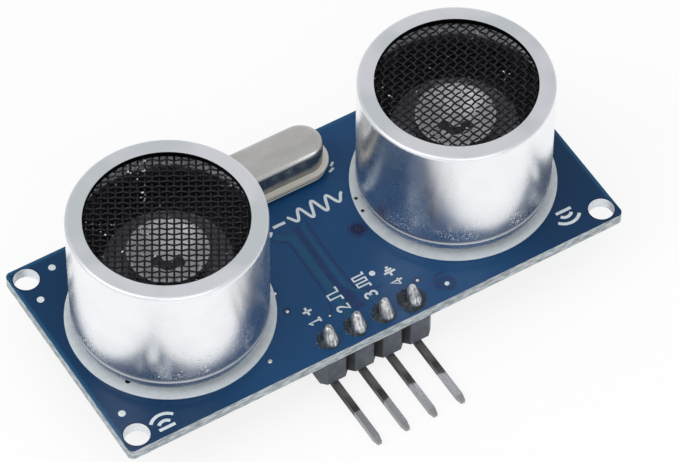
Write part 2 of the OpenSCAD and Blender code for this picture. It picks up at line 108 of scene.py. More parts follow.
class Kind(Enum):
    """What a node does: its type, settings, the sockets it is given and the one that is read."""

    TIMES = ("Math", {"operation": "MULTIPLY"}, (0, 1), 0)
    PLUS = ("Math", {"operation": "ADD"}, (0, 1), 0)
    LESS = ("Math", {"operation": "SUBTRACT"}, (0, 1), 0)
    LARGER = ("Math", {"operation": "MAXIMUM"}, (0, 1), 0)
    SIZE = ("Math", {"operation": "ABSOLUTE"}, (0,), 0)
    TO_AND_FRO = ("Math", {"operation": "PINGPONG"}, (0, 1), 0)
    TIMES_PLUS = ("Math", {"operation": "MULTIPLY_ADD"}, (0, 1, 2), 0)
    LENGTH = ("VectorMath", {"operation": "LENGTH"}, (0,), "Value")
    PLACE = ("TexCoord", {}, (), "Object")
    DIRECTION = ("TexCoord", {}, (), "Generated")
    NORMAL = ("NewGeometry", {}, (), "Normal")
    STRETCHED = ("Mapping", {}, ("Vector", "Scale"), "Vector")
    X = ("SeparateXYZ", {}, (0,), "X")
    Y = ("SeparateXYZ", {}, (0,), "Y")
    Z = ("SeparateXYZ", {}, (0,), "Z")
    FLAT = ("CombineXYZ", {}, ("X", "Y"), 0)
    NOISE = ("TexNoise", {}, ("Vector", "Scale", "Detail"), "Fac")
    FROM = ("MapRange", {}, ("Value", "From Min", "From Max"), "Result")
    TO = ("MapRange", {}, ("Value", "To Min", "To Max"), "Result")
    RAMP = (
        "MapRange", {"interpolation_type": "SMOOTHSTEP"}, ("Value", "From Min", "From Max"),
        "Result",
    )
    # The colour Mix node's sockets 0, 6 and 7 are its factor and its two colours.
    MIX = ("Mix", {"data_type": "RGBA"}, (0, 6, 7), 2)
    GREYS = ("ValToRGB", {}, (0,), "Color")
    BUMP = ("Bump", {}, ("Height", "Distance", "Strength"), "Normal")
    CAMERA_RAY = ("LightPath", {}, (), "Is Camera Ray")
    GLOSSY_RAY = ("LightPath", {}, (), "Is Glossy Ray")
    TRANSMISSION_RAY = ("LightPath", {}, (), "Is Transmission Ray")
    GLOW = ("Emission", {}, ("Color", "Strength"), 0)
    EITHER = ("MixShader", {}, (0, 1, 2), 0)


def add_node(tree: bpy.types.NodeTree, kind: Kind, *values: Any) -> Link:
    """Adds a node with its settings and links.

    Args:
        tree: The node tree that gets the node.
        kind: What the node does.
        values: A socket to link from, a plain value or a hex colour, for each socket in turn.

    Returns:
        The socket that is read.
    """
    type_name, settings, given, read = kind.value
    node = tree.nodes.new(f"ShaderNode{type_name}")
    for name, value in settings.items():
        setattr(node, name, value)
    for key, value in zip(given, values):
        if isinstance(value, bpy.types.NodeSocket):
            tree.links.new(value, node.inputs[key])
        else:
            colour = isinstance(value, str)
            node.inputs[key].default_value = to_linear(value) if colour else value
    return node.outputs[read]


@dataclass
class Surface:
    """A surface while its finish is laid: where a point is, and what it has so far."""

    tree: bpy.types.NodeTree
    place: Link
    colour: Link
    rough: Link
    height: Link

    def add(self, kind: Kind, *values: Any) -> Link:
        """Adds a node to the surface's tree."""
        return add_node(self.tree, kind, *values)

    def product(self, first: Link, *others: Link | float) -> Link:
        """Multiplies masks and shares.

        Args:
            first: The first mask.
            others: More masks, or plain shares.

        Returns:
            The product's socket.
        """
        for other in others:
            first = self.add(Kind.TIMES, first, other)
        return first

    def past(self, value: Link, *spans: Span) -> Link:
        """Goes from 0 to 1 over each span in millimetres, all multiplied."""
        return self.product(*(self.add(Kind.RAMP, value, a * MM, b * MM) for a, b in spans))

    def patches(self, size: float, detail: float, span: Span, place: Link = None) -> Link:
        """Patches of a noise that goes from 0 to 1 over a span.

        Args:
            size: Their size in millimetres.
            detail: The noise's detail.
            span: Part of the noise's range.
            place: Where a point is, if not at the surface's own place.

        Returns:
            The mask's socket.
        """
        at_point = self.place if place is None else place
        noise = self.add(Kind.NOISE, at_point, 1 / (size * MM), detail)
        return self.add(Kind.RAMP, noise, *span)

    def level(self, span: Span) -> Link:
        """Goes from 0 to 1 as the surface gets more level, or less if the span falls."""
        up = self.add(Kind.SIZE, self.add(Kind.Z, self.add(Kind.NORMAL)))
        return self.add(Kind.RAMP, up, *span)

    def paint(self, colour: str | Link, *masks: Link | float) -> None:
        """Lays a colour over the surface, as far as the masks say."""
        self.colour = self.add(Kind.MIX, self.product(*masks), self.colour, colour)

    def roughen(self, rough: float, *masks: Link | float) -> None:
        """Brings the roughness to a value, as far as the masks say."""
        self.rough = self.add(Kind.TO, self.product(*masks), self.rough, rough)


@dataclass(frozen=True)
class Finish:
    """A surface: what it is made of and how it was made.

    The base colour drifts to a second one in patches of grain_mm, the roughness drifts with it,
    and bump_mm is the height of the finest unevenness.
    """

    name: str
    base: str
    second: str
    metallic: float = 0.0
    roughness: float = 0.5
    rough_spread: float = 0.1
    ior: float = 1.5
    shine: float = 0.5
    coat: float = 0.0
    grain_mm: float = 1.0
    stretch: tuple[float, float, float] = (1.0, 1.0, 1.0)
    bump_mm: float = 0.0
    bump_grain_mm: float = 0.2

    def build(self) -> bpy.types.Material:
        """Makes the material, or returns the one made before.

        Returns:
            The material.
        """
        made = bpy.data.materials.get(self.name)
        if made is not None:
            return made
        material = bpy.data.materials.new(self.name)
        material.use_nodes = True
        tree = material.node_tree
        shader = tree.nodes["Principled BSDF"].inputs
        shader["Metallic"].default_value = self.metallic
        shader["Coat Weight"].default_value = self.coat
        if self.metallic < 1:
            shader["IOR"].default_value = self.ior
            shader["Specular IOR Level"].default_value = self.shine
        place = add_node(tree, Kind.PLACE)
        mapped = add_node(tree, Kind.STRETCHED, place, tuple(1 / s for s in self.stretch))
        noise = add_node(tree, Kind.NOISE, mapped, 1 / (self.grain_mm * MM), DRIFT_DETAIL)
        drift = add_node(tree, Kind.FROM, noise, *DRIFT_SPAN)
        low = max(LEAST_ROUGH, self.roughness - self.rough_spread)
        surface = Surface(
            tree,
            place,
            add_node(tree, Kind.MIX, drift, self.base, self.second),
            add_node(tree, Kind.TO, drift, low, self.roughness + self.rough_spread),
            add_node(tree, Kind.NOISE, mapped, 1 / (self.bump_grain_mm * MM), BUMP_DETAIL),
        )
        self.layers(surface)
        tree.links.new(surface.colour, shader["Base Color"])
        tree.links.new(surface.rough, shader["Roughness"])
        if self.bump_mm > 0:
            bump = add_node(tree, Kind.BUMP, surface.height, self.bump_mm * MM, 1.0)
            tree.links.new(bump, shader["Normal"])
        return material

    def layers(self, surface: Surface) -> None:
        """Adds what a plain finish lacks. This one adds nothing."""


@dataclass(frozen=True)
class MaskedLaminate(Finish):
    """Glass-fibre laminate under glossy blue solder mask, with painted shade at both ends; sawn
    edges unmasked and rough.
    """

    # Painted shade: the board is painted darker towards both ends, round the cans.
    ends: str = "#053053"
    ends_span: Span = (8.0, 17.0)
    rim: str = "#205678"
    rim_share: float = 0.7
    rim_x: Span = (22.05, 22.4)
    rim_y: Span = (9.55, 9.9)
    front_y: Span = (-9.1, -8.6)
    cut: str = "#bbc2c4"
    cut_dark: str = "#858d90"
    cut_rough: float = 0.8
    bore: str = "#e3e8e9"
    # Glass fibres are about 0.01 mm thick. They are drawn as coarse as they need to show.
    fibres: Patches = (0.16, 3.0, (0.35, 0.65))
    fibre_stretch: tuple[float, float, float] = (0.25, 0.25, 1.0)
    masked_level: Span = (0.4, 0.6)

    def layers(self, surface: Surface) -> None:
        """Paints shade on both ends, pales the rim but for its front, and bares cut edges and
        bores.

        Args:
            surface: The surface so far, changed here.
        """
        add, past = surface.add, surface.past
        out = add(Kind.SIZE, add(Kind.X, surface.place))
        y = add(Kind.Y, surface.place)
        # Painted shade towards both ends of the board.
        surface.paint(self.ends, past(out, self.ends_span))
        past_y = past(add(Kind.SIZE, y), self.rim_y)
        rim = add(Kind.LARGER, past(out, self.rim_x), past_y)
        surface.paint(self.rim, rim, past(y, self.front_y), self.rim_share)
        along = add(Kind.STRETCHED, surface.place, self.fibre_stretch)
        fibres = surface.patches(*self.fibres, along)
        cut = add(Kind.MIX, fibres, self.cut_dark, self.cut)
        cut = add(Kind.MIX, rim, self.bore, cut)
        masked = surface.level(self.masked_level)
        surface.colour = add(Kind.MIX, masked, cut, surface.colour)
        surface.rough = add(Kind.TO, masked, self.cut_rough, surface.rough)


@dataclass(frozen=True)
class DrawnAluminium(Finish):
    """Deep-drawn aluminium: a bright wall with handling marks low down, a satin mouth face."""

    face: str = "#dfe0e4"
    face_second: str = "#cfd4d6"
    face_z: Span = (12.72, 12.92)
    face_rough: float = 0.42
    smears: Patches = (5.0, 2.0, (0.4, 0.65))
    # Painted shade: the groove above the can's foot is painted darker.
    groove: str = "#a6acb4"
    groove_z: float = 2.6
    groove_half: Span = (0.3, 0.22)
    groove_rough: float = 0.5
    inside_r: Span = (7.64, 7.56)
    inside_z: tuple[Span, Span] = ((9.95, 10.35), (11.35, 11.05))
    inside_rough: float = 1.0
    bore: str = "#1b1b1e"
    bore_r: Span = (6.62, 6.58)
    bore_level: Span = (0.7, 0.4)
    pits: Patches = (0.13, 3.0, (0.54, 0.66))
    pit_rough: float = 0.8
    pit_depth: float = 6.0
    worn: Patches = (3.5, 1.0, (0.42, 0.58))
    low_z: tuple[Span, Span] = ((8.5, 2.5), (2.85, 3.0))
    lip_z: tuple[Span, Span] = ((12.3, 12.6), (12.98, 12.8))

    def layers(self, surface: Surface) -> None:
        """Makes the face satin, blackens its bore, dulls inside and groove, pits the low wall.

        Args:
            surface: The surface so far, changed here.
        """
        add, past = surface.add, surface.past
        z = add(Kind.Z, surface.place)
        groove = past(add(Kind.SIZE, add(Kind.LESS, z, self.groove_z * MM)), self.groove_half)
        # Painted shade in the groove above the foot.
        surface.paint(self.groove, groove)
        face = past(z, self.face_z)
        smears = surface.patches(*self.smears)
        surface.paint(add(Kind.MIX, smears, self.face, self.face_second), face)
        surface.roughen(self.face_rough, face)
        aside = add(Kind.SIZE, add(Kind.LESS, add(Kind.X, surface.place), MIDDLE_X * MM))
        off_axis = add(Kind.LESS, aside, APART * MM)
        radius = add(Kind.LENGTH, add(Kind.FLAT, off_axis, add(Kind.Y, surface.place)))
        surface.roughen(self.inside_rough, past(radius, self.inside_r), past(z, *self.inside_z))
        surface.roughen(self.groove_rough, groove)
        surface.paint(self.bore, past(radius, self.bore_r), surface.level(self.bore_level))
        pits, worn = surface.patches(*self.pits), surface.patches(*self.worn)
        handled = add(Kind.LARGER, past(z, *self.low_z), past(z, *self.lip_z))
        pitted = surface.product(pits, worn, handled)
        surface.rough = add(Kind.LARGER, surface.rough, add(Kind.TIMES, pitted, self.pit_rough))
        surface.height = add(Kind.TIMES_PLUS, pitted, -self.pit_depth, surface.height)


@dataclass(frozen=True)
class PaintedWire(Finish):
    """Black paint on wire, rubbed through in small spots of a few areas, painted near white: wear
    and painted highlight.
    """

    # Rubbed spots: worn paint, painted near white as a painted highlight of the bare metal's
    # glints.
    rubbed_glint: str = "#d8d8dc"
    spots: Patches = (0.26, 1.0, (0.67, 0.71))
    areas: Patches = (2.4, 1.0, (0.55, 0.61))

    def layers(self, surface: Surface) -> None:
        """Paints the rubbed spots near white, as wear and painted highlight."""
        surface.paint(self.rubbed_glint, surface.patches(*self.spots), surface.patches(*self.areas))


@dataclass(frozen=True)
class PressedNickel(Finish):
    """A crystal's pressed cover: bright top, a painted dark reflection on the upright wall, pale
    matt weld flange.
    """

    # Painted reflection: the upright wall is painted darker, as the dark board it mirrors.
    wall: str = "#8d9091"
    wall_level: Span = (0.93, 0.4)
    flange: str = "#e6e3db"
    flange_z: Span = (2.06, 2.02)
    flange_rough: float = 0.8
    seam: str = "#55524c"
    seam_z: Span = (1.76, 1.71)

    def layers(self, surface: Surface) -> None:
        """Paints a dark reflection on the wall, pales the flange and draws its seam on the base
        plate.

        Args:
            surface: The surface so far, changed here.
        """
        z = surface.add(Kind.Z, surface.place)
        flange = surface.past(z, self.flange_z)
        # Painted dark reflection on the upright wall.
        surface.paint(self.wall, surface.level(self.wall_level))
        surface.paint(self.flange, flange)
        surface.paint(self.seam, surface.past(z, self.seam_z))
        surface.roughen(self.flange_rough, flange)


@dataclass(frozen=True)
class MouldedCells(Finish):
    """A header's moulded housing, dark in the notches where light is lost between its cells."""

    notch: str = "#14161a"
    notch_half: Span = (0.48, 0.34)
    last_notch: Span = (3.24, 3.14)

    def layers(self, surface: Surface) -> None:
        """Darkens the notches between the cells.

        Args:
            surface: The surface so far, changed here.
        """
        along = surface.add(Kind.LESS, surface.add(Kind.X, surface.place), MIDDLE_X * MM)
        off_notch = surface.add(Kind.TO_AND_FRO, along, PIN_PITCH / 2 * MM)
        among = surface.past(surface.add(Kind.SIZE, along), self.last_notch)
        surface.paint(self.notch, surface.past(off_notch, self.notch_half), among)


@dataclass(frozen=True)
class DrawnPin(Finish):
    """A plated pin with a painted dark reflection from its bend to near its tip, and painted shade
    on its sides.
    """

    # Painted reflection: the leg is painted dark from its bend to near its tip and lighter by the
    # housing; painted shade darkens its sheared sides.
    dark_reflection: str = "#4c4c4c"
    reflection_by_housing: str = "#8b8b8a"
    side: str = "#2a2a2c"
    waver_mm: float = 1.5
    waver_by: float = 2.0
    reflection_y: Span = (-13.1, -12.85)
    reflection_z: Span = (0.0, -1.0)
    reflection_fade_y: Span = (-12.6, -10.9)
    haze_rough: float = 0.55
    sideways: Span = (0.4, 0.8)

    def layers(self, surface: Surface) -> None:
        """Paints a dark reflection on the inner part of the leg in front of the housing, and shade
        on its sheared sides.

        Args:
            surface: The surface so far, changed here.
        """
        add, past = surface.add, surface.past
        noise = add(Kind.NOISE, surface.place, 1 / (self.waver_mm * MM), 1.0)
        waver = add(Kind.TIMES, add(Kind.LESS, noise, 0.5), self.waver_by * MM)
        along = add(Kind.PLUS, add(Kind.Y, surface.place), waver)
        low = past(add(Kind.Z, surface.place), self.reflection_z)
        reflected_leg = surface.product(past(along, self.reflection_y), low)
        reflection_fade = past(along, self.reflection_fade_y)
        # Painted shade on the sheared sides, painted dark reflection along the leg.
        sheared = add(Kind.RAMP, add(Kind.SIZE, add(Kind.X, add(Kind.NORMAL))), *self.sideways)
        dark_reflection = add(Kind.MIX, reflection_fade, self.dark_reflection, self.reflection_by_housing)
        surface.paint(add(Kind.MIX, sheared, dark_reflection, self.side), reflected_leg)
        surface.roughen(self.haze_rough, reflected_leg, reflection_fade)


class Finishes(Enum):
    """Every finish on the sensor."""

    # Blue epoxy mask over copper and laminate: glossy, slightly mottled by the copper below.
    BOARD = MaskedLaminate(
        "board_solder_mask", "#17446d", "#154069", roughness=0.24, rough_spread=0.04, shine=0.2,
        grain_mm=3.0, bump_mm=0.003, bump_grain_mm=1.2,
    )
    # Screen-printed epoxy ink: matt, slightly thin where the mesh of the screen was. Its threads
    # are about 0.06 mm apart and drawn coarser, so that they show.
    INK = Finish(
        "white_ink", "#ced6d9", "#c3cbcf", roughness=0.6, shine=0.3, grain_mm=0.6,
        bump_mm=0.004, bump_grain_mm=0.1,
    )
    # Drawn aluminium, bright from the die, with a faint haze.
    CAN = DrawnAluminium(
        "drawn_aluminium", "#f8f9fb", "#f4f6f9", metallic=1.0, roughness=0.27, rough_spread=0.03,
        grain_mm=2.5, bump_mm=0.001, bump_grain_mm=0.6,
    )
    # Woven wire with baked black paint: deep black with a thin gloss along the wire.
    MESH = PaintedWire(
        "black_painted_wire", "#07070f", "#0a0a15", roughness=0.42, shine=0.26, grain_mm=0.5,
        bump_mm=0.002, bump_grain_mm=0.08,
    )
    # Spun aluminium cone, satin.
    HORN = Finish(
        "spun_aluminium", "#e9e9ec", "#d9d9dc", metallic=0.6, grain_mm=0.8, bump_mm=0.003,
    )
    # Nickel-iron disc, dull.
    DISC = Finish("nickel_iron_disc", "#8d8e93", "#77787d", metallic=0.8, roughness=0.4)
    # Fired piezo ceramic, biscuit-matt.
    CERAMIC = Finish("fired_ceramic", "#d8d0bb", "#c9c0a8", roughness=0.7, grain_mm=0.4)
    # Cast silicone ring, milky and soft.
    CUSHION = Finish("cast_silicone", "#e6e4dd", "#d9d6cd", roughness=0.55, ior=1.41, grain_mm=1.2)
    # Dark lobes in the horn's foot, painted shade of its throat: half gloss.
    THROAT_SHADE = Finish(
        "painted_throat_shade", "#2a2a2f", "#37373b", roughness=0.42, shine=0.4, grain_mm=0.5,
        bump_mm=0.02, bump_grain_mm=0.5,
    )
    # Moulded black phenolic, dull.
    BASE = Finish(
        "moulded_phenolic", "#18181a", "#202023", roughness=0.55, shine=0.3, grain_mm=0.5,
        bump_mm=0.01, bump_grain_mm=0.15,
    )
    # Tinned leads: soft silver with a slight haze.
    TINNED = Finish(
        "tinned_lead", "#c9c9c6", "#b3b3b0", metallic=1.0, roughness=0.3, grain_mm=0.5,
        bump_mm=0.004,
    )
    # Enamelled copper: warm, under a clear gloss.
    COPPER = Finish("enamelled_copper", "#b8703c", "#a4602f", metallic=0.9, roughness=0.3, coat=0.5)
    # Solder: bright tin that froze in soft folds.
    SOLDER = Finish(
        "reflowed_solder", "#dddee0", "#b4b6b8", metallic=1.0, roughness=0.24, rough_spread=0.08,
        grain_mm=0.5, bump_mm=0.02, bump_grain_mm=0.5,
    )
    # Solder drawn up the hot pins: frosted in streaks along the pin.
    WICKED = Finish(
        "wicked_solder", "#eceded", "#76797d", metallic=0.85, roughness=0.34, grain_mm=0.2,
        stretch=(1.0, 1.0, 5.0), bump_mm=0.03,
    )
    # Flux baked on the solder's skirt: nearly black glass, its darkness partly a painted reflection
    # of the solder's dark flank.
    FLUX_AND_DARK_REFLECTION = Finish(
        "flux_and_dark_reflection", "#0c1b2c", "#1a2626", roughness=0.24, rough_spread=0.08, shine=0.35,
        grain_mm=0.3, bump_mm=0.02,
    )
    # Nickel-plated steel, pressed: a soft smeared shine.
    CRYSTAL = PressedNickel(
        "pressed_nickel", "#cdccc8", "#bab9b5", metallic=1.0, roughness=0.26, rough_spread=0.05,
        grain_mm=1.6, stretch=(2.0, 1.0, 1.0), bump_mm=0.002, bump_grain_mm=1.5,
    )
    # The crystal's base plate and flange: rolled edge, dull and pale.
    FLANGE = Finish(
        "dull_nickel", "#dedad0", "#d0ccc2", metallic=0.15, roughness=0.6, grain_mm=0.6,
    )
    # Glass-filled nylon, moulded: dark grey with a fine grain, drawn coarser than its fibres.
    HEADER = MouldedCells(
        "moulded_nylon", "#51575f", "#464b53", shine=0.35, grain_mm=0.6, bump_mm=0.006,
        bump_grain_mm=0.12,
    )
    # Tin-plated brass pin, drawn: smears along it, a painted dark reflection towards its bend.
    PIN = DrawnPin(
        "plated_pin", "#9b9c9f", "#8c8d90", metallic=1.0, roughness=0.28, rough_spread=0.04,
        grain_mm=0.5, stretch=(1.0, 5.0, 1.0), bump_mm=0.0006, bump_grain_mm=0.5,
    )
    # Transfer-moulded epoxy of the chips: near black and matt, its filler's grain drawn coarse.
    CHIP = Finish(
        "moulded_epoxy", "#1d1d20", "#242427", roughness=0.6, shine=0.35, grain_mm=0.3,
        bump_mm=0.006, bump_grain_mm=0.08,
    )
    # Glazed black top of a thick-film resistor.
    RESISTOR = Finish("glazed_resistor", "#17171a", "#222226", roughness=0.35, grain_mm=0.4)
    # Fired capacitor ceramic, tan.
    CAPACITOR = Finish("fired_capacitor", "#a98a64", "#97794f", grain_mm=0.4)
    # Laminate under the mask: the dark lines between areas of copper.
    GAP = Finish("masked_gap", "#1a3359", "#1c375f", roughness=0.3, shine=0.2)
    # Mask run thin over the rim of a hole: violet black.
    THIN = Finish("thin_mask", "#101a3e", "#16224a", roughness=0.25, shine=0.2, grain_mm=0.5)
    # Copper under the mask: a little greener and lighter.
    TRACE = Finish("masked_copper", "#1c4d6e", "#194767", roughness=0.24, shine=0.2, grain_mm=1.5)
    # Burnt flux left round the hand-soldered joints.
    FLUX = Finish(
        "burnt_flux", "#142a40", "#1f2c33", roughness=0.3, shine=0.3, grain_mm=0.35,
        bump_mm=0.008,
    )
    # Bare tinned laminate over the vias that the mask leaves open: pale and matt.
    BARE = Finish("bare_laminate", "#d6dcde", "#c5cdd0", roughness=0.7, shine=0.3, grain_mm=0.3)

    @property
    def material(self) -> bpy.types.Material:
        """The built material."""
        return self.value.build()


# The nodes of each finish; those of a transducer are named without its t_ or r_.
FINISH_NODES: dict[Finishes, str] = {
    Finishes.BOARD: "pcb",
    Finishes.INK: "print_rings",
    Finishes.CAN: "can",
    Finishes.MESH: "mesh",
    Finishes.HORN: "horn",
    Finishes.DISC: "disc",
    Finishes.CERAMIC: "piezo",
    Finishes.CUSHION: "cushion",
    Finishes.BASE: "base",
    Finishes.TINNED: (
        "leads crystal_leads driver_chip_leads logic_chip_leads amplifier_chip_leads "
        "transistor_leads"
    ),
    Finishes.COPPER: "wires",
    Finishes.SOLDER: "can_solder crystal_solder header_solder resistor_ends capacitor_ends",
    Finishes.CRYSTAL: "crystal_cover",
    Finishes.FLANGE: "crystal_base",
    Finishes.HEADER: "header_housing",
    Finishes.PIN: "header_pin_1 header_pin_2 header_pin_3 header_pin_4",
    Finishes.CHIP: "driver_chip logic_chip amplifier_chip transistor",
    Finishes.RESISTOR: "resistors",
    Finishes.CAPACITOR: "capacitors",
}


def dress_nodes() -> None:
    """Gives every CAD node its finish."""
    finishes = {name: finish for finish, names in FINISH_NODES.items() for name in names.split()}
    for name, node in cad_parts.items():
        finish = finishes[name.removeprefix("t_").removeprefix("r_")]
        node.data.materials.clear()
        node.data.materials.append(finish.material)


def add_object(name: str, data: bpy.types.ID) -> bpy.types.Object:
    """Adds an object to the scene.

    Args:
        name: The object's name.
        data: The mesh, curve, light or camera that it shows.

    Returns:
        The object.
    """
    thing = bpy.data.objects.new(name, data)
    bpy.context.scene.collection.objects.link(thing)
    return thing


def finish_piece(
    name: str, parts: Iterable[Part], finish: Finishes, sharp_deg: float = 40.0
) -> bpy.types.Object:
    """Joins placed shapes into one finished piece that rides on the sensor.

    Args:
        name: The piece's name.
        parts: Shapes in millimetres, freed here, each with its place.
        finish: The piece's finish.
        sharp_deg: Edges that turn more than this stay sharp.

    Returns:
        The new object.
    """
    whole = bmesh.new()
    for shape, place in parts:
        part = bpy.data.meshes.new("part")
        shape.to_mesh(part)
        shape.free()
        part.transform(place)
        whole.from_mesh(part)
        bpy.data.meshes.remove(part)
    bmesh.ops.scale(whole, vec=(MM, MM, MM), verts=whole.verts)
    mesh = bpy.data.meshes.new(name)
    whole.to_mesh(mesh)
    whole.free()
    mesh.shade_smooth()
    mesh.set_sharp_from_angle(angle=math.radians(sharp_deg))
    mesh.materials.append(finish.material)
    piece = add_object(name, mesh)
    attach(piece, "root")
    log.info("%s: %d faces", name, len(mesh.polygons))
    return piece


def spaced(count: int, pitch: float) -> list[float]:
    """Places evenly spaced things on both sides of 0.

    Args:
        count: How many there are.
        pitch: Distance from one to the next.

    Returns:
        Their places, the lowest first.
    """
    return [(i - (count - 1) / 2) * pitch for i in range(count)]


def polar(radius: float, angle: float, x: float = 0.0, y: float = 0.0) -> Point:
    """Finds the point at a radius and an angle from a centre.

    Args:
        radius: Distance from the centre.
        angle: Angle from the X axis, in radians.
        x: The centre's place along X.
        y: The centre's place along Y.

    Returns:
        The point.
    """
    return (x + radius * math.cos(angle), y + radius * math.sin(angle))


def at(x: float, y: float, z: float = TOP) -> Matrix:
    """Moves a shape to a point of the board.

    Args:
        x: Place along the board.
        y: Place across the board.
        z: Height, the front face's if none is given.

    Returns:
        The place.
    """
    return Matrix.Translation((x, y, z))


def turned(degrees: float) -> Matrix:
    """Turns a shape about the Z axis.

    Args:
        degrees: Angle of the turn, anticlockwise from above.

    Returns:
        The turn.
    """
    return Matrix.Rotation(math.radians(degrees), 4, "Z")


def close_ends(shape: Shape) -> None:
    """Fills a shape's open ends.

    Args:
        shape: The shape, changed here.
    """
    bmesh.ops.holes_fill(shape, edges=[e for e in shape.edges if e.is_boundary])


def ball(radius: float, around: int, tall: int) -> Shape:
    """A ball round the origin.

    Args:
        radius: Its radius.
        around: Number of segments around.
        tall: Number of segments from pole to pole.

    Returns:
        The shape.
    """
    shape = bmesh.new()
    bmesh.ops.create_uvsphere(shape, u_segments=around, v_segments=tall, radius=radius)
    return shape


def flat_disc(radius: float, sides: int, height: float, top: float = 0.94) -> Shape:
    """A thin round plate on z = 0.

    Args:
        radius: Its radius.
        sides: Number of sides.
        height: Its thickness.
        top: Share of the radius that its upper face has.

    Returns:
        The shape.
    """
    shape = bmesh.new()
    bmesh.ops.create_cone(
        shape, cap_ends=True, segments=sides, radius1=radius, radius2=radius * top, depth=height
    )
    bmesh.ops.translate(shape, vec=(0, 0, height / 2), verts=shape.verts)
    return shape


def spun(profile: tuple[Point, ...], steps: int, ring: bool) -> Shape:
    """Spins a profile round the Z axis and closes what it leaves open.

    Args:
        profile: Radius and height of each point.
        steps: Number of steps round.
        ring: Whether the profile's last point joins its first.

    Returns:
        The shape.
    """
    shape = bmesh.new()
    verts = [shape.verts.new((r, 0, z)) for r, z in profile]
    edges = [shape.edges.new(pair) for pair in zip(verts, verts[1:])]
    if ring:
        edges.append(shape.edges.new((verts[-1], verts[0])))
    bmesh.ops.spin(
        shape, geom=verts + edges, cent=(0, 0, 0), axis=(0, 0, 1),
        angle=math.tau, steps=steps, use_merge=True,
    )
    bmesh.ops.remove_doubles(shape, verts=shape.verts, dist=MERGE)
    bmesh.ops.recalc_face_normals(shape, faces=shape.faces)
    if not ring:
        close_ends(shape)
    return shape


def washer(inner: float, outer: float, low: float, high: float, steps: int) -> Shape:
    """A flat ring with upright sides.

    Args:
        inner: Radius of its hole.
        outer: Radius of its rim.
        low: Height of its lower face.
        high: Height of its upper face.
        steps: Number of steps round.

    Returns:
        The shape.
    """
    return spun(((inner, low), (outer, low), (outer, high), (inner, high)), steps, True)


def draw_lines(
    name: str, lines: list[Line], finish: Finishes, height: float, face: float = TOP
) -> None:
    """Draws lines on a face of the board, each slightly raised and round-backed.

    Args:
        name: The piece's name.
        lines: Points and width of each line.
        finish: The piece's finish.
        height: Height of a line's back.
        face: Height of the face.
    """
    curve = bpy.data.curves.new(name, "CURVE")
    curve.dimensions = "3D"
    curve.bevel_depth = LINE_HALF
    curve.bevel_resolution = 1
    curve.use_fill_caps = True
    for points, width in lines:
        spline = curve.splines.new("POLY")
        spline.points.add(len(points) - 1)
        for target, (x, y) in zip(spline.points, points):
            target.co = (x, y, 0, 1)
            target.radius = width
    drawn = add_object(name + "_curve", curve)
    graph = bpy.context.evaluated_depsgraph_get()
    mesh = bpy.data.meshes.new_from_object(drawn.evaluated_get(graph))
    shape = bmesh.new()
    shape.from_mesh(mesh)
    bpy.data.objects.remove(drawn)
    bpy.data.curves.remove(curve)
    bpy.data.meshes.remove(mesh)
    for vert in shape.verts:
        vert.co.z = max(-1.0, min(1.0, vert.co.z * LINE_STEEPNESS)) * height
    lift = LINE_LIFT if face > BACK else -LINE_LIFT
    finish_piece(name, [(shape, at(0, 0, face + lift))], finish, sharp_deg=50.0)


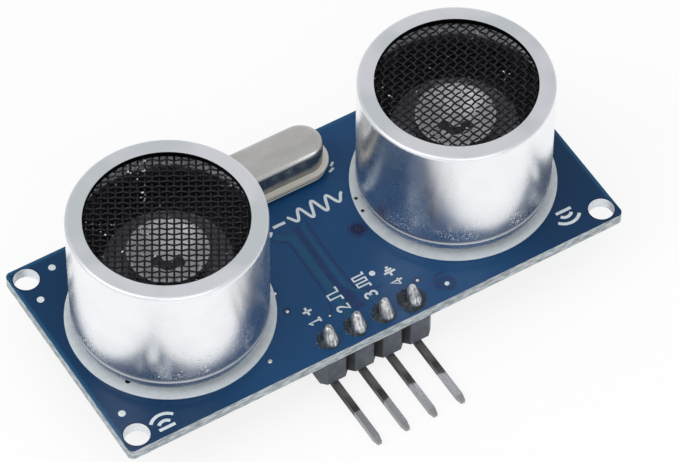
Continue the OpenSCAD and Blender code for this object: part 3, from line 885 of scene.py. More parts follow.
@dataclass
class Weave:
    """The mouth's mesh: black wire in a plain weave, crimped in a ring under the can's face.

    Wires along the turned X axis are pitch_y apart and those across it pitch_x apart.
    """

    side: str
    centre_x: float
    turn_deg: float
    pitch_x: float
    pitch_y: float = 0.515
    wire_d: float = 0.162
    sway: float = 0.075
    middle_z: float = 12.32
    see_r: float = 6.55
    rim_in_r: float = 6.8
    rim_out_r: float = 7.36
    rim_steps: int = 96
    sides: int = 6
    rings_a_half_wave: int = 4

    def wire(self, pitch: float, half_waves: int, flip: float) -> Shape:
        """One wire along X, waved up and down.

        Args:
            pitch: Length of a half wave.
            half_waves: Half waves on each side of its middle.
            flip: 1 or -1, whether its middle is up or down.

        Returns:
            The wire's shape, its middle at the origin.
        """
        shape = bmesh.new()
        ring = bmesh.ops.create_circle(shape, segments=self.sides, radius=self.wire_d / 2)["verts"]
        bmesh.ops.rotate(shape, verts=ring, matrix=Matrix.Rotation(math.pi / 2, 3, "Y"))
        step = pitch / self.rings_a_half_wave
        count = 2 * half_waves * self.rings_a_half_wave
        heights = [
            flip * self.sway * math.cos(math.pi * (i / self.rings_a_half_wave - half_waves))
            for i in range(count + 1)
        ]
        bmesh.ops.translate(shape, verts=ring, vec=(-half_waves * pitch, 0, heights[0]))
        edges = list(shape.edges)
        for low, high in zip(heights, heights[1:]):
            grown = bmesh.ops.extrude_edge_only(shape, edges=edges)["geom"]
            verts = [g for g in grown if isinstance(g, bmesh.types.BMVert)]
            bmesh.ops.translate(shape, verts=verts, vec=(step, 0, high - low))
            edges = [
                g for g in grown
                if isinstance(g, bmesh.types.BMEdge) and all(v in verts for v in g.verts)
            ]
        close_ends(shape)
        bmesh.ops.recalc_face_normals(shape, faces=shape.faces)
        return shape

    def wires(self, place: Matrix, pitch: float, spacing: float, flip: float) -> Iterator[Part]:
        """Parallel wires along X, every other one turned over.

        Args:
            place: Where the wires' middle goes.
            pitch: Length of a wire's half wave.
            spacing: Distance between the wires.
            flip: 1 or -1, whether the middle wire's middle is up or down.

        Yields:
            Each wire with its place.
        """
        rows = int(self.see_r / spacing)
        for i in range(-rows, rows + 1):
            offset = i * spacing
            half_waves = math.ceil(math.sqrt(self.see_r**2 - offset**2) / pitch)
            wire = self.wire(pitch, half_waves, flip if i % 2 == 0 else -flip)
            yield wire, place @ at(0, offset, 0)

    def build(self) -> None:
        """Weaves the mesh and stands it for the CAD node."""
        place = at(self.centre_x, 0, self.middle_z) @ turned(self.turn_deg)
        rim = washer(self.rim_in_r, self.rim_out_r, -self.wire_d, self.wire_d, self.rim_steps)
        parts = [
            *self.wires(place, self.pitch_x, self.pitch_y, 1.0),
            *self.wires(place @ turned(90), self.pitch_y, self.pitch_x, -1.0),
            (rim, place),
        ]
        name = f"{self.side}_mesh_weave"
        piece = finish_piece(name, parts, Finishes.MESH, sharp_deg=60.0)
        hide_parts(f"{self.side}_mesh")


@dataclass
class Throat:
    """What fixes the horn: a plug in its foot between two dark lobes, painted shade of its throat.

    Each lobe has its place, its stretch along X and Y and its height; the third is the bridge.
    """

    side: str
    centre_x: float
    foot_z: float = 7.45
    lobe: tuple[Point, ...] = ((0.5, 0.03), (0.53, 0.14), (0.47, 0.27), (0.3, 0.36), (0.0, 0.4))
    lobes: tuple[tuple[float, float, float, float, float], ...] = (
        (-0.82, 0.0, 1.05, 0.9, 1.0), (0.82, -0.05, 1.0, 0.95, 1.0), (0.0, -0.4, 1.7, 1.0, 0.85),
    )
    lobe_steps: int = 36
    uneven: float = 0.07
    turn_deg: float = -31.0
    plug: tuple[Point, ...] = ((0.66, 0.02), (0.66, 0.24), (0.6, 0.3), (0.0, 0.32))
    plug_steps: int = 32
    disc_r: float = 5.1
    lip_r: float = 0.06
    lip_sides: int = 10
    lip_steps: int = 96

    def build(self) -> None:
        """Makes the painted shade of the throat, the plug and the disc's rolled lip."""
        place = at(self.centre_x, 0, self.foot_z)
        # Dark lobes of painted shade in the horn's throat.
        throat_shade = []
        for x, y, wide, deep, tall in self.lobes:
            lobe = spun(self.lobe, self.lobe_steps, False)
            for vert in lobe.verts:
                angle = math.atan2(vert.co.y, vert.co.x)
                vert.co.xy *= 1 + self.uneven * math.sin(3 * angle + 4 * x)
            stretched = Matrix.Diagonal((wide, deep, tall, 1))
            throat_shade.append((lobe, place @ turned(self.turn_deg) @ at(x, y, 0) @ stretched))
        turns = (math.tau * i / self.lip_sides for i in range(self.lip_sides))
        section = tuple(polar(self.lip_r, turn, self.disc_r - self.lip_r) for turn in turns)
        plug = [(spun(self.plug, self.plug_steps, False), place)]
        lip = [(spun(section, self.lip_steps, True), place)]
        finish_piece(f"{self.side}_horn_throat_shade", throat_shade, Finishes.THROAT_SHADE)
        finish_piece(f"{self.side}_horn_plug", plug, Finishes.HORN)
        finish_piece(f"{self.side}_disc_lip", lip, Finishes.DISC)


@dataclass
class TaperedPins:
    """The header's pins with their upper ends tapered, as they are cropped before soldering."""

    half_w: float = 0.28
    top_z: float = 2.8
    taper_l: float = 0.5
    taper_in: float = 0.16
    upright_l: float = 3.0
    upright_half: float = 0.5
    near: float = 1e-4
    cut_below: float = 0.01

    def build(self) -> None:
        """Cuts four slopes on a copy of each pin, which then stands for it."""
        low_z = self.top_z - self.taper_l
        from_z, from_y = self.top_z - self.upright_l, PIN_Y - self.upright_half
        for number, x in enumerate(PIN_X, 1):
            name = f"header_pin_{number}"
            shape = bmesh.new()
            shape.from_mesh(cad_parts[name].data)
            bmesh.ops.scale(shape, vec=(1 / MM, 1 / MM, 1 / MM), verts=shape.verts)
            bmesh.ops.remove_doubles(shape, verts=shape.verts, dist=self.near)
            for out_x, out_y in ((1, 0), (-1, 0), (0, 1), (0, -1)):
                foot = Vector((x + out_x * self.half_w, PIN_Y + out_y * self.half_w, low_z))
                slope = Vector((out_x * self.taper_l, out_y * self.taper_l, self.taper_in))
                upright = [v for v in shape.verts if v.co.z > from_z and v.co.y > from_y]
                faces = {f for v in upright for f in v.link_faces}
                edges = {e for f in faces for e in f.edges}
                verts = {v for f in faces for v in f.verts}
                bmesh.ops.bisect_plane(
                    shape, geom=[*verts, *edges, *faces], plane_co=foot, plane_no=slope
                )
                tip = [v for v in shape.verts if v.co.z > low_z - self.cut_below]
                outward = slope.normalized()
                cut = [v for v in tip if (v.co - foot).dot(outward) > self.near]
                bmesh.ops.delete(shape, geom=cut, context="VERTS")
                close_ends(shape)
            bmesh.ops.recalc_face_normals(shape, faces=shape.faces)
            piece = finish_piece(
                f"{name}_tapered", [(shape, Matrix())], Finishes.PIN, sharp_deg=25.0
            )
            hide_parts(name)


@dataclass
class PinJoints:
    """Hand-soldered joints: a leaf of solder drawn up each pin out of a skirt of charred flux and
    painted dark reflection.
    """

    leaf_profile: tuple[Point, ...] = (
        (0.5, 0.0), (0.56, 0.06), (0.59, 0.16), (0.59, 0.32), (0.57, 0.5), (0.54, 0.7),
        (0.505, 0.9), (0.475, 1.1), (0.445, 1.26), (0.41, 1.38), (0.35, 1.52), (0.28, 1.66),
        (0.22, 1.76), (0.12, 1.79),
    )
    leaf_steps: int = 96
    lean: Point = (0.08, -0.34)
    lean_to: float = 1.4
    lean_power: float = 1.3
    wobble: Span = (0.02, 0.05)
    wobble_to: float = 1.5
    front_deg: float = -84.0
    front_off: Span = (-9.0, 9.0)
    crease_w: float = 0.17
    crease_depth: Span = (0.16, 0.24)
    crease_apart: Span = (0.45, 0.7)
    lesser_depths: Span = (0.09, 0.06)
    other_crease: float = 0.75
    creased_to: float = 1.3
    crease_power: float = 0.8
    skirt_profile: tuple[Point, ...] = (
        (1.02, 0.0), (0.98, 0.035), (0.86, 0.07), (0.73, 0.13), (0.62, 0.21), (0.53, 0.32),
        (0.46, 0.46), (0.42, 0.6), (0.3, 0.62), (0.3, 0.0),
    )
    skirt_steps: int = 48
    skirt_size: tuple[float, ...] = (0.78, 0.88, 0.92, 1.08)
    skirt_off: Point = (-0.1, 0.06)
    skirt_in_r: float = 0.45
    skirt_slope: float = 0.3
    skirt_waves: tuple[Point, ...] = ((2, 0.06), (5, 0.04))
    skirt_ripple: float = 0.03
    beads: int = 11
    bead_segments: tuple[int, int] = (8, 6)
    bead_r: Span = (0.012, 0.03)
    bead_deg: Span = (100.0, 235.0)
    bead_away: Span = (0.6, 1.1)
    bead_z: float = 0.02
    bead_rise: float = 0.25
    bead_low_at: float = 0.95

    def leaf(self, creases: list[tuple[float, float]], wobble: float) -> Shape:
        """One leaf of solder, creased nearly to its tip and leaning to the board's edge.

        Args:
            creases: Angle and depth of each crease.
            wobble: Unevenness of its outline.

        Returns:
            The shape, on z = 0.
        """
        shape = spun(self.leaf_profile, self.leaf_steps, False)
        for vert in shape.verts:
            z = vert.co.z
            angle = math.atan2(vert.co.y, vert.co.x)
            up = min(1.0, max(0.0, z / self.creased_to))
            fade = math.sin(math.pi * up**self.crease_power)
            wide = 1 + wobble * math.sin(3 * angle + 4 * z) * max(0.0, 1 - z / self.wobble_to)
            for crease, depth in creases:
                turn = math.remainder(angle - crease, math.tau)
                wide -= depth * fade * math.exp(-((turn / self.crease_w) ** 2))
            down = max(0.0, 1 - z / self.lean_to) ** self.lean_power
            vert.co.x = vert.co.x * wide + self.lean[0] * down
            vert.co.y = vert.co.y * wide + self.lean[1] * down
        return shape

    def skirt(self, size: float, phase: float) -> Shape:
        """One skirt, uneven outside the leaf.

        Args:
            size: Its size against the profile's.
            phase: Turn of its unevenness.

        Returns:
            The shape, on z = 0.
        """
        shape = spun(self.skirt_profile, self.skirt_steps, True)
        for vert in shape.verts:
            angle = math.atan2(vert.co.y, vert.co.x)
            past = vert.co.xy.length - self.skirt_in_r
            if past > 0:
                grow = 1 + sum(w * math.sin(k * angle + phase) for k, w in self.skirt_waves)
                grow *= size + self.skirt_ripple * math.sin(9 * angle)
                out = min(1.0, past / self.skirt_slope)
                vert.co.x = vert.co.x * grow + self.skirt_off[0] * out
                vert.co.y = vert.co.y * grow + self.skirt_off[1] * out
        return shape

    def build(self) -> None:
        """Makes the four joints, each a little different, and the beads spat round them."""
        rng = random.Random(3)
        leaves, skirts = [], []
        for x, size in zip(PIN_X, self.skirt_size):
            front = math.radians(self.front_deg + rng.uniform(*self.front_off))
            creases = [(front, rng.uniform(*self.crease_depth))]
            asides = (rng.uniform(*self.crease_apart), -self.other_crease)
            creases += [(front + aside, d) for aside, d in zip(asides, self.lesser_depths)]
            leaves.append((self.leaf(creases, rng.uniform(*self.wobble)), at(x, PIN_Y)))
            skirts.append((self.skirt(size, rng.uniform(0, math.tau)), at(x, PIN_Y)))
            for _ in range(self.beads):
                bead = ball(rng.uniform(*self.bead_r), *self.bead_segments)
                angle = math.radians(rng.uniform(*self.bead_deg))
                away = rng.uniform(*self.bead_away)
                up = self.bead_z + self.bead_rise * max(0.0, self.bead_low_at - away)
                leaves.append((bead, at(*polar(away, angle, x, PIN_Y), TOP + up)))
        # The skirts: charred flux and a painted dark reflection of the solder's flank.
        finish_piece("joint_skirts", skirts, Finishes.FLUX_AND_DARK_REFLECTION, sharp_deg=70.0)
        piece = finish_piece("pin_joints", leaves, Finishes.WICKED, sharp_deg=70.0)
        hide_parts("header_solder")


# Strokes of each pin's number and of the plain sign after it, in a cell one unit high.
PIN_MARKS: tuple[tuple[list[list[Point]], list[list[Point]]], ...] = (
    (
        [[(0.08, 0.74), (0.32, 1.0), (0.32, 0.0)], [(0.08, 0.0), (0.56, 0.0)]],
        [[(0.0, 0.5), (0.8, 0.5)], [(0.4, 0.1), (0.4, 0.9)]],
    ),
    (
        [
            [
                (0.04, 0.76), (0.1, 0.92), (0.28, 1.0), (0.46, 0.94), (0.54, 0.77),
                (0.46, 0.56), (0.04, 0.0), (0.58, 0.0),
            ]
        ],
        [[(0.0, 0.0), (0.4, 0.0), (0.4, 1.0), (0.9, 1.0), (0.9, 0.0), (1.4, 0.0)]],
    ),
    (
        [
            [(0.04, 0.9), (0.26, 1.0), (0.48, 0.92), (0.54, 0.76), (0.46, 0.6), (0.24, 0.53)],
            [(0.24, 0.53), (0.48, 0.46), (0.57, 0.28), (0.48, 0.08), (0.26, 0.0), (0.03, 0.1)],
        ],
        [
            [
                (0.0, 0.0), (0.3, 0.0), (0.3, 1.0), (0.65, 1.0), (0.65, 0.0),
                (1.0, 0.0), (1.0, 1.0), (1.35, 1.0), (1.35, 0.0), (1.6, 0.0),
            ]
        ],
    ),
    (
        [[(0.44, 0.0), (0.44, 1.0), (0.02, 0.32), (0.62, 0.32)]],
        [
            [(0.0, 0.5), (0.4, 0.5)], [(0.4, 0.0), (0.4, 1.0)],
            [(0.65, 0.2), (0.65, 0.8)], [(0.9, 0.38), (0.9, 0.62)],
        ],
    ),
)


@dataclass
class BoardFace:
    """What is printed, drawn and soldered on the board's face.

    A via has its place and radius, a gap round a via its place and its inner and outer radius.
    """

    ink_w: float = 0.2
    ink_t: float = 0.03
    mark_w: float = 0.28
    number_x: tuple[float, ...] = (-3.52, -0.92, 1.62, 4.03)
    number_y: float = -6.8
    number_h: float = 0.98
    sign_after: float = 1.05
    sounding: tuple[tuple[float, float, int], ...] = ((-18.85, -9.3, 1), (18.5, -7.3, -1))
    sounding_r: Point = (0.65, 1.3)
    sounding_half: float = 0.7
    burst_y: float = 3.15
    burst_h: float = 0.75
    burst_w: float = 0.252
    burst_swell: Span = (0.35, 0.65)
    burst_wave: float = 1.3
    burst_l: float = 5.2
    burst_from: float = -0.65
    burst_steps: tuple[int, int] = (-12, 91)
    steps_a_mm: int = 20
    burst_dash: tuple[Point, Point] = ((-2.05, 3.12), (-0.95, 3.12))
    burst_tick: tuple[Point, Point] = ((-2.75, 2.45), (-2.4, 2.8))
    dashes: tuple[tuple[Point, Point], ...] = (
        ((5.1, 6.12), (5.48, 6.4)), ((4.7, 5.66), (5.2, 5.86)),
    )
    plugged: tuple[Spot, ...] = (
        (-5.27, -2.55, 0.16), (-5.34, -4.57, 0.15), (-8.95, -8.0, 0.2),
        (-2.71, -6.62, 0.1), (4.97, -7.2, 0.15), (6.8, -8.65, 0.22),
    )
    open_vias: tuple[Spot, ...] = (
        (-18.9, 8.7, 0.3), (-21.2, 6.4, 0.3), (-21.2, -6.4, 0.3), (2.29, -4.78, 0.26),
    )
    dome_segments: tuple[int, int] = (20, 10)
    dome_cut: float = 0.05
    dome_flat: float = 0.4
    lid_t: float = 0.02
    gaps: tuple[Ring, ...] = (
        (3.6, -0.45, 0.56, 0.84), (6.8, -8.65, 0.32, 0.75), (4.94, -7.14, 0.12, 0.32),
        (-5.34, -4.52, 0.12, 0.34), (-5.27, -2.5, 0.12, 0.32), (-2.71, -6.57, 0.08, 0.2),
        (2.27, -4.75, 0.24, 0.31),
    )
    gap_t: float = 0.007
    stain: Ring = (3.6, -0.45, 0.22, 0.54)
    stain_t: float = 0.009
    ring_steps: int = 40
    film_r: tuple[float, ...] = (0.9, 0.9, 0.9, 1.16)
    film_t: float = 0.012
    film_sides: int = 36
    film_grow: float = 1.04
    film_wave: Span = (0.02, 0.06)
    film_waves: tuple[int, ...] = (2, 3, 5, 8)
    film_stretch: Point = (0.95, 1.05)

    def pin_numbers(self) -> list[Line]:
        """Each pin's number and a plain sign, read along +Y.

        Returns:
            Their lines.
        """
        tall = self.number_h
        return [
            ([(x - t * tall, y + s * tall) for s, t in stroke], self.ink_w)
            for x, marks in zip(self.number_x, PIN_MARKS)
            for y, mark in zip((self.number_y, self.number_y + self.sign_after), marks)
            for stroke in mark
        ]

    def wave_marks(self) -> list[Line]:
        """A sounding mark at each transducer and a burst of waves by the crystal.

        Returns:
            The marks' lines.
        """
        lines = []
        turns = [math.radians(40 + 10 * i) for i in range(11)]
        for x, y, out in self.sounding:
            half = self.sounding_half
            lines.append(([(x - half, y), (x + half, y)], self.mark_w))
            for r in self.sounding_r:
                lines.append(([polar(out * r, turn, x, y) for turn in turns], self.mark_w))
        burst = []
        least, more = self.burst_swell
        for i in range(*self.burst_steps):
            x = i / self.steps_a_mm
            swell = least + more * math.sin(math.pi * (x - self.burst_from) / self.burst_l)
            wave = math.sin(math.tau * (x + 1.0) / self.burst_wave)
            burst.append((x, self.burst_y + self.burst_h * wave * swell))
        lines.append((list(self.burst_dash), self.mark_w))
        lines.append((burst, self.burst_w))
        lines.append((list(self.burst_tick), self.mark_w))
        return lines

    def build(self) -> None:
        """Makes the printed marks, copper lines, vias and flux."""
        lines = self.pin_numbers() + self.wave_marks()
        lines += [(list(dash), self.ink_w) for dash in self.dashes]
        draw_lines("printed_marks", lines, Finishes.INK, self.ink_t)
        self.copper()
        self.vias()
        self.flux()

    def copper(self) -> None:
        """Draws the copper under the mask and the dark gaps between areas of it."""
        left = [(-2.8, 2.09), (-1.74, 1.16), (-1.84, -3.88), (-1.95, -5.2), (-2.35, -6.4)]
        middle = [(-0.56, 2.3), (-0.5, 0.78), (-0.67, -3.19), (-0.63, -5.99), (-0.4, -7.2)]
        right = [(0.5, 2.3), (0.34, -1.5), (0.39, -5.05), (0.8, -5.7), (1.9, -6.2), (2.4, -6.2)]
        hook = [(5.9, -8.9), (6.0, -8.0), (6.5, -7.5), (7.2, -7.6)]
        fork = [(-0.55, -4.7), (-0.2, -5.6), (0.1, -7.2)]
        track_2 = [(-2.42, 2.23), (-1.28, 1.38), (-1.3, -3.88), (-1.3, -5.8), (-1.47, -7.6)]
        track_3 = [
            (0.0, 2.2), (-0.1, 0.18), (-0.1, -4.65), (0.29, -5.45), (0.86, -5.97), (1.07, -7.6),
        ]
        for name, finish, height, lines in (
            ("gaps", Finishes.GAP, 0.006, [(left, 0.2), (middle, 0.5), (right, 0.22), (hook, 0.3)]),
            ("fork", Finishes.GAP, 0.009, [(fork, 0.5)]),
            ("tracks", Finishes.TRACE, 0.004, [(track_2, 0.6), (track_3, 0.3)]),
        ):
            draw_lines(f"copper_{name}", lines, finish, height)

    def vias(self) -> None:
        """Makes the solder-plugged vias and the dark rings round the separate ones."""
        domes = []
        for x, y, r in self.plugged:
            dome = ball(r, *self.dome_segments)
            bmesh.ops.bisect_plane(
                dome, geom=[*dome.verts, *dome.edges, *dome.faces],
                plane_co=(0, 0, -self.dome_cut * r), plane_no=(0, 0, -1), clear_outer=True,
            )
            close_ends(dome)
            domes.append((dome, at(x, y) @ Matrix.Diagonal((1, 1, self.dome_flat, 1))))
        lids = [(flat_disc(r, DOT_SIDES, self.lid_t), at(x, y)) for x, y, r in self.open_vias]
        finish_piece("plugged_vias", domes, Finishes.SOLDER)
        finish_piece("via_lids", lids, Finishes.BARE)
        for name, spots, t, finish in (
            ("via_gaps", self.gaps, self.gap_t, Finishes.GAP),
            ("via_stain", [self.stain], self.stain_t, Finishes.THIN),
        ):
            rings = [(washer(r_in, r, 0, t, self.ring_steps), at(x, y)) for x, y, r_in, r in spots]
            finish_piece(name, rings, finish)

    def flux(self) -> None:
        """Lays an uneven film of flux round each hand-soldered pin."""
        rng = random.Random(7)
        films = []
        for x, radius in zip(PIN_X, self.film_r):
            film = flat_disc(radius, self.film_sides, self.film_t)
            waves = [
                (k, rng.uniform(0, math.tau), rng.uniform(*self.film_wave))
                for k in self.film_waves
            ]
            for vert in film.verts:
                angle = math.atan2(vert.co.y, vert.co.x)
                waved = sum(size * math.sin(k * angle + turn) for k, turn, size in waves)
                vert.co.xy *= self.film_grow + waved
            films.append((film, at(x, PIN_Y) @ Matrix.Diagonal((*self.film_stretch, 1, 1))))
        finish_piece("flux_films", films, Finishes.FLUX)


@dataclass
class HoleRims:
    """Thin mask round the mounting holes, and dark dots printed off-centre on the rings."""

    hole_x: float = 21.2
    hole_y: float = 8.7
    hole_r: float = 1.05
    rim_r: float = 1.15
    rim_t: float = 0.008
    rim_steps: int = 48
    dots: tuple[Spot, ...] = (
        (5.1, 2.25, 0.16), (4.9, 0.9, 0.16), (-19.3, -4.0, 0.24), (3.6, -0.45, 0.17),
    )
    dot_t: float = 0.056

    def build(self) -> None:
        """Makes the rims on both faces and the dots on the printed rings and one via."""
        rims = [
            (washer(self.hole_r, self.rim_r, low, low + self.rim_t, self.rim_steps), at(x, y, face))
            for face, low in ((TOP, 0.0), (BACK, -self.rim_t))
            for x in (-self.hole_x, self.hole_x)
            for y in (-self.hole_y, self.hole_y)
        ]
        dots = [(flat_disc(r, DOT_SIDES, self.dot_t), at(x, y)) for x, y, r in self.dots]
        finish_piece("hole_rims", rims, Finishes.THIN)
        finish_piece("ring_dots", dots, Finishes.BASE)


@dataclass
class BackFace:
    """Pads, solder, copper lines and printed outlines on the board's back.

    A chip has its place, its leads on each side, whether it stands along Y, and its length.
    """

    chips: tuple[tuple[float, float, int, bool, float], ...] = (
        (T_X, 0.0, 8, True, 10.0), (MIDDLE_X, 1.4, 7, False, 8.7), (R_X, 0.0, 7, True, 8.7),
    )
    lead_pitch: float = 1.27
    toe: float = 2.75
    toe_pad: Point = (0.625, 0.31)
    transistor: Point = (-6.4, -4.2)
    transistor_toes: tuple[Point, ...] = ((1.15, -0.95), (1.15, 0.95), (-1.15, 0.0))
    transistor_pad: Point = (0.4, 0.4)
    row_y: float = 8.4
    row_pitch: float = 2.5
    middle_row_y: float = -4.4
    flat_x: Point = (-6.4, 6.0)
    flat_y: Point = (1.4, 3.8)
    end_off: float = 0.9
    end_pad: Point = (0.5, 0.42)
    fillet: Spot = (0.34, 0.36, 0.3)
    fillet_in: float = 0.12
    fillet_segments: tuple[int, int] = (16, 8)
    pad_t: float = 0.03
    pad_corner: float = 0.5
    corner_segments: int = 3
    outline_t: float = 0.012
    outline_half: Point = (0.62, 1.55)
    outline_off: float = 0.12
    chip_half_w: float = 1.98
    chip_line_w: float = 0.15
    small_line_w: float = 0.12
    first_lead_w: float = 0.3
    first_lead_off: Span = (0.35, 0.2)
    track_t: float = 0.004
    track_w: float = 0.25
    pin_track_w: float = 0.35
    track_top: float = 4.6
    track_apart: float = 0.5
    inner_pitch: float = 1.2

    def small_parts(self) -> list[tuple[float, float, bool]]:
        """Places the resistors and capacitors.

        Returns:
            Centre of each, and whether it lies along Y.
        """
        parts = []
        for x0 in (T_X, R_X):
            for x in spaced(4, self.row_pitch):
                parts += [(x0 + x, self.row_y, True), (x0 + x, -self.row_y, True)]
        parts += [(MIDDLE_X + x, self.middle_row_y, True) for x in spaced(3, self.row_pitch)]
        return parts + [(x, y, False) for x in self.flat_x for y in self.flat_y]

    def pad(self, half: Point) -> Shape:
        """A flat solder pad with round corners, its middle on z = 0.

        Args:
            half: Half its length along X and along Y.

        Returns:
            The shape.
        """
        shape = bmesh.new()
        bmesh.ops.create_cube(shape, size=2)
        bmesh.ops.scale(shape, vec=(*half, self.pad_t), verts=shape.verts)
        corners = [e for e in shape.edges if abs(e.verts[0].co.z - e.verts[1].co.z) > self.pad_t]
        bmesh.ops.bevel(
            shape, geom=corners, offset=min(half) * self.pad_corner,
            segments=self.corner_segments, profile=0.5, affect="EDGES", material=-1,
        )
        return shape

    def solder(self) -> Iterator[Part]:
        """The pads under every lead and end, and the fillets on the small parts' ends.

        Yields:
            Each shape with its place.
        """
        for x0, y0, count, upright, _ in self.chips:
            pad = self.toe_pad if upright else self.toe_pad[::-1]
            for along in spaced(count, self.lead_pitch):
                for out in (-self.toe, self.toe):
                    x, y = (out, along) if upright else (along, out)
                    yield self.pad(pad), at(x0 + x, y0 + y, BACK)
        for x, y in self.transistor_toes:
            place = at(self.transistor[0] + x, self.transistor[1] + y, BACK)
            yield self.pad(self.transistor_pad), place
        for x, y, along_y in self.small_parts():
            middle = at(x, y, BACK) @ turned(90 if along_y else 0)
            for side in (-1, 1):
                place = middle @ at(side * self.end_off, 0, 0)
                yield self.pad(self.end_pad), place
                inward = place @ at(-side * self.fillet_in, 0, 0)
                fillet = ball(1.0, *self.fillet_segments)
                yield fillet, inward @ Matrix.Diagonal((*self.fillet, 1))

    def build(self) -> None:
        """Makes the back's solder, copper lines and outlines."""
        finish_piece("back_pads", self.solder(), Finishes.SOLDER)
        self.copper()
        self.outlines()

    def copper(self) -> None:
        """Draws the copper lines under the mask."""
        lines = []
        tops = spaced(4, self.lead_pitch)
        for i, y in enumerate(tops):
            in_y = self.track_top - i * self.track_apart
            left = [(-10.0, y), (-8.6, y), (-7.9, y + 0.7), (-7.9, in_y), (-4.2, in_y)]
            right = [(9.6, y), (8.4, y), (7.6, y - 0.6), (7.6, in_y), (3.9, in_y)]
            lines += [(left, self.track_w), (right, self.track_w)]
        for x, off in zip(PIN_X, tops):
            top = MIDDLE_X + off
            track = [(x, -7.4), (x, -6.2), (top, -5.6), (top, -2.2), (top, -1.6)]
            lines.append((track, self.pin_track_w))
        for x0 in (T_X, R_X):
            for out, inner in zip(spaced(4, self.row_pitch), spaced(4, self.inner_pitch)):
                for side in (1, -1):
                    rows = ((x0 + out, 7.4), (x0 + out, 6.7), (x0 + inner, 5.9))
                    lines.append(([(x, side * y) for x, y in rows], self.track_w))
        draw_lines("back_tracks", lines, Finishes.TRACE, self.track_t, BACK)

    def outlines(self) -> None:
        """Prints the chips' outlines, a dash at each first lead and the small parts' sides."""
        lines = []
        for x0, y0, _, upright, length in self.chips:
            half = (self.chip_half_w, length / 2 + self.outline_off)
            half_x, half_y = half if upright else half[::-1]
            corners = ((-1, -1), (1, -1), (1, 1), (-1, 1), (-1, -1))
            outline = [(x0 + a * half_x, y0 + b * half_y) for a, b in corners]
            top = y0 + half_y + self.first_lead_w
            dash = [(x0 - half_x - off, top) for off in self.first_lead_off]
            lines += [(outline, self.chip_line_w), (dash, self.first_lead_w)]
        across, along = self.outline_half
        for x, y, along_y in self.small_parts():
            for a in (-across, across):
                ends = [(a, b) if along_y else (b, a) for b in (-along, along)]
                side = [(x + off_x, y + off_y) for off_x, off_y in ends]
                lines.append((side, self.small_line_w))
        draw_lines("back_outlines", lines, Finishes.INK, self.outline_t, BACK)


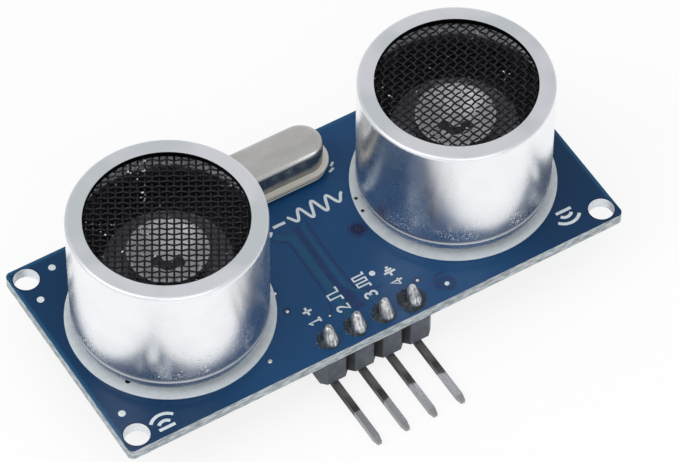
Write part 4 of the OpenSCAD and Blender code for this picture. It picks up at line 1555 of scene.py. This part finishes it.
@dataclass
class Stage:
    """The floor, the lights, the surroundings and the camera."""

    floor_z: float = -3.8
    floor_half: float = 2000.0
    floor_colour: str = "#f4f4f4"
    floor_rough: float = 0.9
    floor_glow: float = 0.82
    camera_at: tuple[float, float, float] = (-117.686, -194.902, 293.810)
    camera_turn_deg: tuple[float, float, float] = (38.02674, -0.22063, -31.31502)
    lens: float = 249.651
    sensor: float = 36.0
    clip: Span = (0.01, 10.0)
    # Height and grey of the mirrored sky, which is white again right overhead.
    sky: tuple[Point, ...] = ((0.0, 1.0), (0.3, 0.6), (0.45, 1.0), (0.85, 0.62))
    sky_blue: float = 1.03
    sky_level: Span = (0.95, 1.0)
    boxes: tuple[tuple[str, tuple[float, float, float], float, float], ...] = (
        ("key_box", (-330, 20, 380), 340, 0.8), ("front_box", (-60, -330, 260), 260, 0.35),
    )

    def build(self) -> None:
        """Makes everything that isn't the sensor."""
        self.floor()
        self.surroundings()
        self.lights()
        self.camera()

    def seen(self, tree: bpy.types.NodeTree, amount: float) -> Link:
        """Amount where a camera, glossy or transmission ray arrives, and 0 elsewhere.

        Args:
            tree: The node tree.
            amount: Value for those rays.

        Returns:
            The socket.
        """
        seen = add_node(tree, Kind.CAMERA_RAY)
        for kind in (Kind.GLOSSY_RAY, Kind.TRANSMISSION_RAY):
            seen = add_node(tree, Kind.LARGER, seen, add_node(tree, kind))
        return add_node(tree, Kind.TIMES, seen, amount)

    def floor(self) -> None:
        """Lays a white floor that keeps the sensor's shadow."""
        shape = bmesh.new()
        bmesh.ops.create_grid(shape, x_segments=2, y_segments=2, size=self.floor_half * MM)
        bmesh.ops.translate(shape, vec=(0, 0, self.floor_z * MM), verts=shape.verts)
        mesh = bpy.data.meshes.new("floor")
        shape.to_mesh(mesh)
        shape.free()
        material = bpy.data.materials.new("white_floor")
        material.use_nodes = True
        tree = material.node_tree
        shader = tree.nodes["Principled BSDF"]
        shader.inputs["Base Color"].default_value = to_linear(self.floor_colour)
        shader.inputs["Roughness"].default_value = self.floor_rough
        glow = add_node(tree, Kind.GLOW, WHITE, 1.0)
        seen = self.seen(tree, self.floor_glow)
        mixed = add_node(tree, Kind.EITHER, seen, shader.outputs[0], glow)
        tree.links.new(mixed, tree.nodes["Material Output"].inputs["Surface"])
        mesh.materials.append(material)
        floor = add_object("floor", mesh)

    def surroundings(self) -> None:
        """A white studio, a little greyer overhead where it is mirrored."""
        world = bpy.data.worlds.new("studio")
        bpy.context.scene.world = world
        world.use_nodes = True
        tree = world.node_tree
        up = add_node(tree, Kind.Z, add_node(tree, Kind.DIRECTION))
        mirrored = add_node(tree, Kind.GREYS, up)
        stops = mirrored.node.color_ramp.elements
        for height, grey in self.sky:
            stop = stops.new(height) if height > 0 else stops[0]
            stop.color = (grey, grey, grey * self.sky_blue, 1)
        back = tree.nodes["Background"].inputs
        colour = add_node(tree, Kind.MIX, add_node(tree, Kind.CAMERA_RAY), mirrored, WHITE)
        level = add_node(tree, Kind.TO, self.seen(tree, 1.0), *self.sky_level)
        tree.links.new(colour, back["Color"])
        tree.links.new(level, back["Strength"])

    def lights(self) -> None:
        """Hangs two soft boxes."""
        for name, place, size, watts in self.boxes:
            light = bpy.data.lights.new(name, "AREA")
            light.shape = "SQUARE"
            light.size = size * MM
            light.energy = watts
            lamp = add_object(name, light)
            lamp.location = Vector(place) * MM
            lamp.rotation_euler = (-lamp.location).to_track_quat("-Z", "Y").to_euler()

    def camera(self) -> None:
        """Places the camera as the photograph's."""
        data = bpy.data.cameras.new("camera")
        data.lens = self.lens
        data.sensor_width = self.sensor
        data.sensor_fit = "HORIZONTAL"
        data.clip_start, data.clip_end = self.clip
        camera = add_object("camera", data)
        camera.location = Vector(self.camera_at) * MM
        camera.rotation_euler = [math.radians(a) for a in self.camera_turn_deg]
        bpy.context.scene.camera = camera
        bpy.context.scene.view_settings.view_transform = "Standard"


def main() -> None:
    """Builds the stage, dresses the nodes and makes the fine pieces."""
    logging.basicConfig(level=logging.INFO, format="%(message)s")
    Stage().build()
    dress_nodes()
    for weave in (
        Weave("t", T_X, turn_deg=-30.0, pitch_x=0.56),
        Weave("r", R_X, turn_deg=14.6, pitch_x=0.61),
    ):
        weave.build()
        Throat(weave.side, weave.centre_x).build()
    for sub_assembly in (TaperedPins(), PinJoints(), BoardFace(), HoleRims(), BackFace()):
        sub_assembly.build()


if __name__ == "__main__":
    main()
